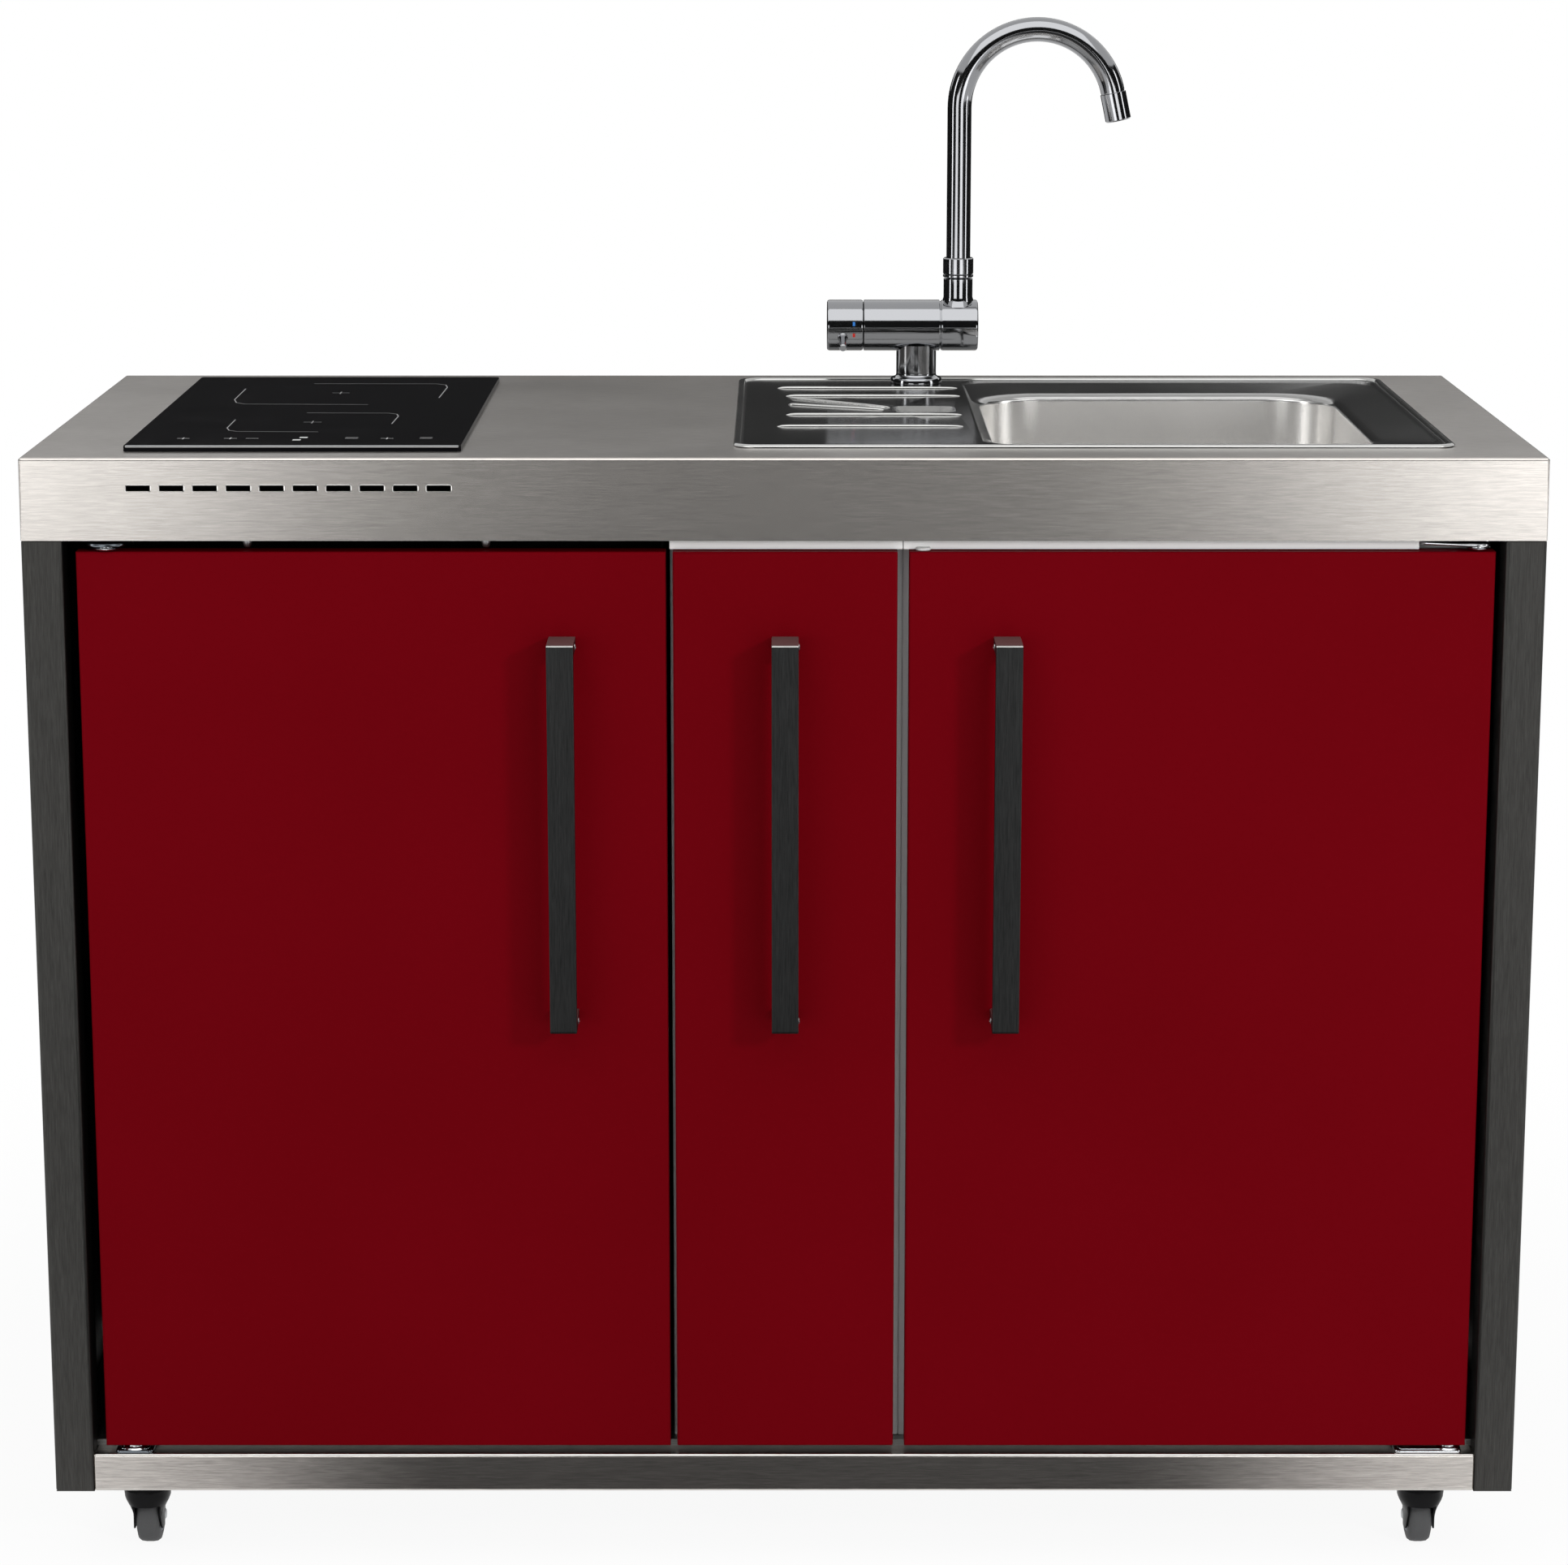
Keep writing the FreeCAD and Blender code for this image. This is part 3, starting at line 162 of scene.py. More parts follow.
steels = {  # colour, roughness, grain direction, bump, contrast
    "worktopSteel": ((0.485, 0.46, 0.435), 0.23, "x", 0.03, 0.14),
    # lighter copy of the worktop steel for its upward faces, the lighter colour painting light on the top
    "flatSteel": ((0.52, 0.495, 0.47), 0.3, "x", 0.1, 0.24),
    "railSteel": ((0.56, 0.535, 0.505), 0.23, "x", 0.08, 0.3),
    "sideRailSteel": ((0.56, 0.535, 0.505), 0.3, "y", 0.12, 0.3),
    # posts: steel darkened as painted shade of the dark room their vertical grain reflects
    "postSteel": ((0.06, 0.059, 0.056), 0.42, "z", 0.12, 0.3),
    # handles: steel darkened as painted shade of the dark room, with a lighter copy for the upward faces as painted
    # light from above
    "handleSteel": ((0.044, 0.045, 0.045), 0.46, "z", 0.1, 0.36),
    "handleEdgeSteel": ((0.36, 0.36, 0.35), 0.42, "x", 0.1, 0.2),
    "panelSteel": ((0.3, 0.3, 0.29), 0.42, "x", 0.08, 0.22),
    "zincSteel": ((0.45, 0.46, 0.47), 0.38, "x", 0.04, 0.1),
    # one sink sheet in three shades: darker deck painted shade, lighter ribs and rim painted highlight, near-white
    # bowl painted light
    "drainerSteel": ((0.3, 0.3, 0.295), 0.15, "x", 0.02, 0.12),
    "bowlSteel": ((0.93, 0.92, 0.905), 0.25, "x", 0.03, 0.04),
    "ribSteel": ((0.42, 0.42, 0.41), 0.18, "x", 0.02, 0.1),
    "coilMetal": ((0.5, 0.24, 0.12), 0.35, "x", 0.05, 0.15),
}
polishes = {  # colour, roughness
    # chrome darkened far below real chrome: painted shade of the dark surroundings it reflects
    "chrome": ((0.28, 0.284, 0.295), 0.08),
    "hingeChrome": ((0.66, 0.67, 0.69), 0.2),
    "hingeDark": ((0.16, 0.18, 0.2), 0.22),
    # slot burrs: brighter than the fascia steel, a painted glint on the slot edges
    "slotEdge": ((0.85, 0.84, 0.82), 0.3),
}
paints = {  # two close colours, roughness, specular level
    "redPaint": ((0.108, 0.00027, 0.00252), (0.117, 0.00036, 0.00306), 0.46, 0.015),
    "whitePaint": ((0.72, 0.72, 0.71), (0.76, 0.76, 0.75), 0.4),
    "blackPaint": ((0.008, 0.008, 0.009), (0.012, 0.012, 0.012), 0.5),
    # channel: brighter copy of the white paint as painted light in the fascia's shade, grey lip as a painted shade
    # line
    "channelWhite": ((0.86, 0.86, 0.85), (0.88, 0.88, 0.87), 0.4),
    "channelGrey": ((0.44, 0.44, 0.44), (0.47, 0.47, 0.47), 0.4),
}
plastics = {  # colour, roughness, grain per metre, bump, specular level
    "markGrey": ((0.26, 0.26, 0.26), 0.6, 300, 0.0),
    "markPale": ((0.6, 0.6, 0.6), 0.6, 300, 0.0),
    "markRed": ((0.6, 0.03, 0.02), 0.5, 300, 0.0),
    "markBlue": ((0.02, 0.16, 0.5), 0.5, 300, 0.0),
    "whitePlastic": ((0.74, 0.74, 0.73), 0.35, 700, 0.04),
    "casterPlastic": ((0.006, 0.006, 0.0065), 0.36, 900, 0.08, 0.09),
    "tyreRubber": ((0.075, 0.076, 0.078), 0.62, 1200, 0.14),
    "hubPlastic": ((0.13, 0.14, 0.17), 0.45),
    "sealRubber": ((0.11, 0.11, 0.11), 0.7),
    "matRubber": ((0.045, 0.046, 0.048), 0.7, 600, 0.2),
    "lensPlastic": ((0.8, 0.8, 0.78), 0.25, 500, 0.05),
    "rackPlastic": ((0.62, 0.64, 0.65), 0.22, 500, 0.03),
}
glasses = {  # colour, roughness, transmission, specular level
    "hobBlack": ((0.0035, 0.0033, 0.004), 0.1, 0.0, 0.035),
    "shelfGlass": ((0.86, 0.93, 0.9), 0.05, 0.85, 0.5),
}
makers = ((brushedSteel, steels), (polished, polishes), (paint, paints), (moulded, plastics), (glass, glasses))
looks = {name: make(name, *values) for make, table in makers for name, values in table.items()}
print("materials ready")


# mesh helpers
weldDistance = 1e-6


def smoothMesh(mesh, angle):
    # smooth below the angle, led by the larger faces so that flat faces stay flat
    around = [[] for vert in mesh.vertices]
    for face in mesh.polygons:
        face.use_smooth = True
        for vert in face.vertices:
            around[vert].append((face.normal.copy(), face.area))
    mesh.set_sharp_from_angle(angle=math.radians(angle))
    limit = math.cos(math.radians(angle))
    normals = []
    for face in mesh.polygons:
        for vert in face.vertices:
            near = [normal * area for normal, area in around[vert] if normal.dot(face.normal) > limit]
            normals.append(sum(near, Vector()).normalized() if near else face.normal.copy())
    mesh.normals_split_custom_set(normals)


def toMesh(name, bm, materials=()):
    bmesh.ops.remove_doubles(bm, verts=bm.verts, dist=weldDistance)
    mesh = bpy.data.meshes.new(name)
    bm.to_mesh(mesh)
    bm.free()
    for material in materials:
        mesh.materials.append(looks[material])
    return mesh


def addObject(name, data):
    item = bpy.data.objects.new(name, data)
    scene.collection.objects.link(item)
    return item


def addMesh(name, mesh, body, stands=(), angle=35):
    smoothMesh(mesh, angle)
    piece = addObject(name, mesh)
    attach(piece, body)
    if stands:
        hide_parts(*stands)


def turnOutward(bm):
    bmesh.ops.recalc_face_normals(bm, faces=bm.faces)


def addPiece(name, bm, materials, body, stands=(), angle=35, closed=True):
    if closed:
        turnOutward(bm)
    addMesh(name, toMesh(name, bm, materials), body, stands, angle)


def middleOf(node):
    low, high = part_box(node)
    return (low + high) / 2


def circle(count):
    return [2 * math.pi * index / count for index in range(count)]


def lifted(profile, height):
    return [(radius, along + height) for radius, along in profile]


def arc(centre, radius, start, span, steps, tall=None):
    # points on a circle, or on an ellipse where tall is given
    turns = [math.radians(start + span * step / steps) for step in range(steps + 1)]
    return [(centre[0] + radius * math.cos(turn), centre[1] + (tall or radius) * math.sin(turn)) for turn in turns]


def roundedRect(low, high, radius, steps=6):
    # outline of a rectangle with round corners, counter-clockwise
    left, right, near, far = low[0] + radius, high[0] - radius, low[1] + radius, high[1] - radius
    corners = enumerate(((right, far), (left, far), (left, near), (right, near)))
    return [point for index, corner in corners for point in arc(corner, radius, 90 * index, 90, steps)]


def insetLoop(bm, low, high, inset, height, radius, steps):
    shift = Vector((inset, inset))
    outline = roundedRect(Vector(low[:2]) + shift, Vector(high[:2]) - shift, radius, steps)
    return [bm.verts.new((x, y, height)) for x, y in outline]


def bridge(bm, first, second, materialIndex=0):
    # a loop may be one point repeated
    faces = []
    for corners in zip(first, first[1:] + first[:1], second[1:] + second[:1], second):
        corners = list(dict.fromkeys(corners))
        if len(corners) > 2:
            faces.append(bm.faces.new(corners))
            faces[-1].material_index = materialIndex
    return faces


def bridgeAll(bm, loops, materialIndex=0, capped=False):
    for first, second in zip(loops, loops[1:]):
        bridge(bm, first, second, materialIndex)
    if capped:
        bm.faces.new(loops[0])
        bm.faces.new(loops[-1])


def lathe(bm, profile, origin, direction, segments=64, materialIndex=0):
    # turns (radius, distance) points about a line
    axis = Vector(direction).normalized()
    side = axis.orthogonal().normalized()
    other = axis.cross(side)
    rings = []
    for radius, along in profile:
        centre = Vector(origin) + axis * along
        spokes = [(side * math.cos(turn) + other * math.sin(turn)) * radius for turn in circle(segments)]
        if radius:
            rings.append([bm.verts.new(centre + spoke) for spoke in spokes])
        else:
            rings.append([bm.verts.new(centre)] * segments)
    bridgeAll(bm, rings, materialIndex)


def sweep(bm, path, radius, flat, segments, looped=False):
    # round tube along a path that lies in the plane across flat
    rings = []
    last = len(path) - 1
    for index, point in enumerate(path):
        before = path[index - 1 if looped else max(index - 1, 0)]
        after = path[(index + 1) % len(path) if looped else min(index + 1, last)]
        along = (Vector(after) - Vector(before)).normalized()
        across = along.cross(Vector(flat)).normalized()
        rings.append([bm.verts.new(Vector(point) + (across * math.cos(turn) + Vector(flat) * math.sin(turn)) * radius)
                      for turn in circle(segments)])
    bridgeAll(bm, rings + rings[:1] if looped else rings, 0, not looped)


def softenEdges(bm, faces, edges, bevel, segments, materialIndex):
    if bevel:
        made = bmesh.ops.bevel(bm, geom=edges, offset=bevel, segments=segments, profile=0.5, affect="EDGES")
        faces = [face for face in faces if face.is_valid] + made["faces"]
    for face in faces:
        face.material_index = materialIndex


def addBlock(bm, low, high, bevel=0.0, segments=2, materialIndex=0):
    made = bmesh.ops.create_cube(bm, size=1.0)
    size = Vector(high) - Vector(low)
    middle = (Vector(high) + Vector(low)) / 2
    for vert in made["verts"]:
        vert.co = vert.co * size + middle
    faces = list({face for vert in made["verts"] for face in vert.link_faces})
    edges = list({edge for vert in made["verts"] for edge in vert.link_edges})
    softenEdges(bm, faces, edges, bevel, segments, materialIndex)


def addBlocks(bm, box, rows, bevel, segments=2, materialIndex=0):
    # a row says for two corners which side of the box they hang on, and how far from it
    for signs, shift, farSigns, farShift in rows:
        near, far = ([box[sign == "+"][axis] + offset[axis] for axis, sign in enumerate(side)]
                     for side, offset in ((signs, shift), (farSigns, farShift)))
        addBlock(bm, near, far, bevel, segments, materialIndex)


def addPlate(bm, outline, axis, start, depth, bevel=0.0, materialIndex=0):
    # extrudes a closed outline of (a, b) points along an axis
    order = {"x": (2, 0, 1), "y": (0, 2, 1), "z": (0, 1, 2)}[axis]
    near, far = ([bm.verts.new([(a, b, place)[index] for index in order]) for a, b in outline]
                 for place in (start, start + depth))
    faces = [bm.faces.new(near), bm.faces.new(far[::-1])] + bridge(bm, near, far)
    bmesh.ops.recalc_face_normals(bm, faces=faces)
    softenEdges(bm, faces, [edge for face in faces[:2] for edge in face.edges], bevel, 2, materialIndex)


def capsuleOutline(first, firstRadius, second, secondRadius, steps=14):
    # outline around two circles
    gap = Vector(second) - Vector(first)
    lean = math.degrees(math.atan2(gap.y, gap.x))
    tilt = math.degrees(math.acos((firstRadius - secondRadius) / gap.length))
    return (arc(first, firstRadius, lean + tilt, 360 - 2 * tilt, steps)
            + arc(second, secondRadius, lean - tilt, 2 * tilt, steps))


# node trees for repeated things
def newTree(name, inputs):
    tree = bpy.data.node_groups.new(name, "GeometryNodeTree")
    for label, kind in {"Geometry": "Geometry", **inputs}.items():
        tree.interface.new_socket(label, in_out="INPUT", socket_type="NodeSocket" + kind)
    tree.interface.new_socket("Geometry", in_out="OUTPUT", socket_type="NodeSocketGeometry")
    return tree, tree.nodes.new("NodeGroupInput").outputs


def endTree(tree, source, shape):
    real = addNode(tree, "GeometryNodeRealizeInstances", {"Geometry": shape})
    finish = addNode(tree, "GeometryNodeSetMaterial", {"Geometry": real, "Material": source["Finish"]})
    addNode(tree, "NodeGroupOutput", {"Geometry": finish})
    return tree


def growMesh(name, mesh, tree, values):
    # runs a tree on a mesh and keeps the result as a plain mesh
    holder = addObject(name + "Source", mesh)
    modifier = holder.modifiers.new("nodes", "NODES")
    modifier.node_group = tree
    for socket in tree.interface.items_tree:
        if socket.in_out == "INPUT" and socket.name in values:
            modifier[socket.identifier] = values[socket.name]
    depsgraph = bpy.context.evaluated_depsgraph_get()
    grown = bpy.data.meshes.new_from_object(holder.evaluated_get(depsgraph), depsgraph=depsgraph)
    grown.name = name
    holder.modifiers.clear()
    bpy.data.objects.remove(holder)
    return grown


def copyTree(name, spun):
    # one copy of a shape at each vertex; spun copies turn to their facing and about it by a fixed seed
    tree, source = newTree(name, {"Shape": "Object", "Finish": "Material", "Seed": "Int"})
    points = addNode(tree, "GeometryNodeMeshToPoints", {"Mesh": source["Geometry"]})
    shape = addNode(tree, "GeometryNodeObjectInfo", {"Object": source["Shape"]})
    copies = addNode(tree, "GeometryNodeInstanceOnPoints", {"Points": points, "Instance": shape.outputs["Geometry"]})
    if spun:
        facing = addNode(tree, "GeometryNodeInputNamedAttribute", {"Name": "facing"}, data_type="FLOAT_VECTOR")
        aligned = addNode(tree, "FunctionNodeAlignRotationToVector", {"Vector": facing}, axis="Z")
        spin = addNode(tree, "FunctionNodeRandomValue", {"Seed": source["Seed"], 3: math.pi}, data_type="FLOAT")
        turn = addNode(tree, "FunctionNodeAxisAngleToRotation", {"Angle": spin.outputs[1]})
        turned = addNode(tree, "FunctionNodeRotateRotation", {"Rotation": aligned, "Rotate By": turn},
                         rotation_space="LOCAL")
        feed(tree, copies, {"Rotation": turned})
    return endTree(tree, source, copies)


plainCopies = copyTree("plainCopies", False)
spunCopies = copyTree("spunCopies", True)


def addCopies(name, bm, places, body, material, angle=35, facings=(), seed=0):
    shape = addObject(name + "One", toMesh(name + "One", bm))
    points = bpy.data.meshes.new(name + "Places")
    points.from_pydata(places, [], [])
    if facings:
        attribute = points.attributes.new("facing", "FLOAT_VECTOR", "POINT")
        for item, facing in zip(attribute.data, facings):
            item.vector = facing
    grown = growMesh(name, points, spunCopies if facings else plainCopies,
                     {"Shape": shape, "Finish": looks[material], "Seed": seed})
    bpy.data.objects.remove(shape)
    addMesh(name, grown, body, (), angle)


# worktop: folded sheet, its openings and vent slots cut by a node tree
worktopSettings = dict(
    fold=0.0028, foldSteps=5, cornerSteps=4, leastRadius=0.0004, sheet=0.0016, hem=0.016,
    hemRadius=0.001, wellInset=0.012, wellReach=0.02, flatFrom=0.9, slotCount=10,
    slotSize=(0.0205, 0.02, 0.005), slotPitch=0.0284, slotInset=0.091, slotDrop=0.026,
    burr=[(0.0009, 0.0), (0.00036, -0.00018), (-0.0001, 0.0009)], burrRadius=0.0012, burrSteps=4,
)


def slotTree():
    tree, source = newTree("fasciaOpenings", {"Count": "Int", "Start": "Vector", "Step": "Vector", "Size": "Vector",
                                              "Wells": "Object", "Finish": "Material"})
    line = addNode(tree, "GeometryNodeMeshLine", {"Count": source["Count"], "Start Location": source["Start"],
                                                  "Offset": source["Step"]})
    cube = addNode(tree, "GeometryNodeMeshCube", {"Size": source["Size"]})
    slots = addNode(tree, "GeometryNodeInstanceOnPoints", {"Points": line, "Instance": cube})
    cutters = addNode(tree, "GeometryNodeRealizeInstances", {"Geometry": slots})
    wells = addNode(tree, "GeometryNodeObjectInfo", {"Object": source["Wells"]})
    cut = addNode(tree, "GeometryNodeMeshBoolean", {"Mesh 1": source["Geometry"], "Mesh 2": cutters},
                  operation="DIFFERENCE")
    feed(tree, cut, {"Mesh 2": wells.outputs["Geometry"]})
    return endTree(tree, source, cut)


def firstSlot(own):
    low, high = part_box("worktop")
    return Vector((low.x + own.slotInset + own.slotSize[0] / 2, low.y, high.z - own.slotDrop))


def buildWorktop(own):
    low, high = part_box("worktop")
    fold, sheet, hem = own.fold, own.sheet, own.hem
    bands = [(inset, height, max(fold - inset, own.leastRadius))
             for inset, height in arc((fold, high.z - fold), fold, 90, 90, own.foldSteps)]
    under = ((0.0, low.z), (hem, low.z), (hem, low.z + sheet), (sheet, low.z + sheet), (sheet, high.z - sheet))
    bands += [(inset, height, own.hemRadius) for inset, height in under]
    bm = bmesh.new()
    loops = [insetLoop(bm, low, high, *band, own.cornerSteps) for band in bands]
    for first, second in zip(loops, loops[1:]):
        bridge(bm, second, first)
    bm.faces.new(loops[0])
    bm.faces.new(list(reversed(loops[-1])))
    turnOutward(bm)
    blank = toMesh("worktopBlank", bm)
    wells = bmesh.new()
    inset, reach = own.wellInset, own.wellReach
    for node in ("hob_glass", "sink"):
        wellLow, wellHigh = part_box(node)
        addBlock(wells, (wellLow.x + inset, wellLow.y + inset, high.z - reach),
                 (wellHigh.x - inset, wellHigh.y - inset, high.z + reach))
    well = addObject("worktopWells", toMesh("worktopWells", wells))
    grown = growMesh("worktopSheet", blank, slotTree(), {
        "Count": own.slotCount, "Start": firstSlot(own), "Step": Vector((own.slotPitch, 0, 0)),
        "Size": Vector(own.slotSize), "Wells": well, "Finish": looks["worktopSteel"]})
    bpy.data.objects.remove(well)
    grown.materials.clear()
    for finish in ("worktopSteel", "flatSteel"):
        grown.materials.append(looks[finish])
    # upward faces take the lighter copy of the steel: painted light on the top
    for face in grown.polygons:
        face.material_index = int(face.normal.z > own.flatFrom)
    addMesh("worktopSheet", grown, "kitchen", ["worktop"])


buildWorktop(named(worktopSettings))
print("worktop folded")


# hob: glass with a bright front trim, zone brackets, centre marks and plain touch keys
hobSettings = dict(
    edge=0.0012, edgeSoft=0.00036, corner=0.003, cornerSteps=6, drop=0.0001, lift=0.00012, line=0.0011,
    trim=[("--+", (0.002, -0.0012, -0.0018), "+-+", (-0.002, 0.0022, 0))], trimBevel=0.0006,
    brackets=[[(0.19, 0.806), (0.19, 0.64), (0.205, 0.596), (0.235, 0.574), (0.631, 0.566)],
              [(0.399, 0.889), (0.805, 0.887), (0.838, 0.868), (0.848, 0.83), (0.843, 0.668)],
              [(0.257, 0.347), (0.257, 0.232), (0.27, 0.2), (0.296, 0.186), (0.544, 0.18)],
              [(0.46, 0.445), (0.718, 0.441), (0.745, 0.426), (0.754, 0.396), (0.75, 0.29)]],
    crosses=[(0.513, 0.743), (0.502, 0.313)], crossShare=0.028,
    keyX=(0.157, 0.298, 0.363, 0.66, 0.767, 0.883), keyY=0.093, keyHalf=0.0055, keyTall=0.005,
    keyRise=0.006, crossedKeys=(0, 1, 4), doubleKeys=(3, 5),
    sliders=[(0.5, 0.073), (0.515, 0.105)], sliderHalf=0.0035, sliderWidth=0.0075,
)


def flatStroke(bm, points, width, height):
    rows = []
    for index, point in enumerate(points):
        before, after = points[max(index - 1, 0)], points[min(index + 1, len(points) - 1)]
        along = (Vector(after) - Vector(before)).normalized()
        across = Vector((-along.y, along.x)) * width / 2
        ends = (Vector(point) + across, Vector(point) - across)
        rows.append([bm.verts.new((end.x, end.y, height)) for end in ends])
    for (left, right), (nextLeft, nextRight) in zip(rows, rows[1:]):
        bm.faces.new((right, nextRight, nextLeft, left))


def buildHob(own):
    low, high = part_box("hob_glass")
    size = high - low
    height = high.z - own.drop
    lift, line, edge = height + own.lift, own.line, own.edge

    def onGlass(share):
        return (low.x + share[0] * size.x, low.y + share[1] * size.y)

    def dash(bm, share, halfX, halfY, width=line, rise=0.0):
        x, y = onGlass(share)
        flatStroke(bm, [(x - halfX, y - halfY + rise), (x + halfX, y + halfY + rise)], width, lift)

    bm = bmesh.new()
    bands = [(0.0, low.z), (0.0, high.z - edge), (own.edgeSoft, high.z - own.edgeSoft), (edge, height)]
    bridgeAll(bm, [insetLoop(bm, low, high, *band, own.corner, own.cornerSteps) for band in bands], 0, True)
    addPiece("hobPlate", bm, ["hobBlack"], "kitchen", ["hob_glass"])
    trim = bmesh.new()
    addBlocks(trim, (low, high), own.trim, own.trimBevel)
    addPiece("hobFrontTrim", trim, ["zincSteel"], "kitchen")
    marks = bmesh.new()
    for bracket in own.brackets:
        flatStroke(marks, [onGlass(share) for share in bracket], line, lift)
    arm = own.crossShare * size.x
    for share in own.crosses:
        dash(marks, share, arm, 0)
        dash(marks, share, 0, arm)
    addPiece("hobZoneMarks", marks, ["markGrey"], "kitchen", closed=False)
    keys = bmesh.new()
    half = own.keyHalf
    for index, x in enumerate(own.keyX):
        share = (x, own.keyY)
        dash(keys, share, half, 0)
        if index in own.crossedKeys:
            dash(keys, share, 0, own.keyTall)
        if index in own.doubleKeys:
            dash(keys, share, half, 0, line, own.keyRise)
    for share in own.sliders:
        dash(keys, share, own.sliderHalf, 0, own.sliderWidth)
    addPiece("hobTouchKeys", keys, ["markPale"], "kitchen", closed=False)


buildHob(named(hobSettings))
print("hob marked")


# sink: rolled rim, flat drainer deck, sloping shoulder and deep bowl, with pressed ribs grown along lines; the one
# sheet is split into three steels: darker deck as painted shade, lighter rim and ribs as painted highlight,
# near-white bowl as painted light
sinkSettings = dict(
    smooth=40, ribSmooth=60, downFrom=-0.5,
    corner=0.02, roll=0.0032, rollShare=0.72, rollSteps=6, rollFoot=0.002, deckDrop=0.0016,
    mouth=((0.171, -0.204), (0.570, 0.272)), mouthRadius=0.03, lip=(0.003, -0.0016, 0.028),
    trough=((0.1, 0.018), (0.158, 0.066)), troughRadius=0.012, troughDepth=0.004,
    pocket=((0.106, 0.024), (0.154, 0.06)), pocketRadius=0.009,
    bowl=((0.181, -0.19), (0.523, 0.2)), bowlRadius=0.06, shoulderDrop=0.006,
    shoulderBands=4, lead=0.004, leadRise=0.0015, leadDrop=0.006, leadSteps=4, depth=0.158,
    draft=0.012, floorRadius=0.026, floorSteps=6, floorFall=0.003, floorTaper=0.008,
    wasteRadius=0.0545, cornerSteps=10, ribWidth=0.0038, ribPoints=40, ribSides=14,
    ribTaper=[(0.0, 0.15), (0.07, 1.0), (0.9, 0.9), (1.0, 0.2)],
    ribs=[((-0.006, 0.206), (0.166, 0.206)), ((0.002, 0.142), (0.166, 0.142)), ((0.004, 0.076), (0.092, 0.036)),
          ((0.006, 0.124), (0.098, 0.052)), ((0.002, 0.0), (0.162, 0.0)), ((-0.006, -0.084), (0.160, -0.084))],
)


def ribTree(own):
    # round ridges along the edges of a mesh, thinner at both ends
    tree, source = newTree("drainerRibs", {"Radius": "Float", "Finish": "Material"})
    lines = addNode(tree, "GeometryNodeMeshToCurve", {"Mesh": source["Geometry"]})
    fine = addNode(tree, "GeometryNodeResampleCurve", {"Curve": lines, "Count": own.ribPoints})
    share = addNode(tree, "GeometryNodeSplineParameter")
    taper = addNode(tree, "ShaderNodeFloatCurve", {"Value": share})
    ends = taper.mapping.curves[0].points
    ends[0].location, ends[1].location = own.ribTaper[0], own.ribTaper[-1]
    for place in own.ribTaper[1:-1]:
        ends.new(*place)
    taper.mapping.update()
    section = addNode(tree, "GeometryNodeCurvePrimitiveCircle", {"Resolution": own.ribSides,
                                                                 "Radius": source["Radius"]})
    ridge = addNode(tree, "GeometryNodeCurveToMesh", {"Curve": fine, "Profile Curve": section, "Scale": taper,
                                                      "Fill Caps": True})
    return endTree(tree, source, ridge)


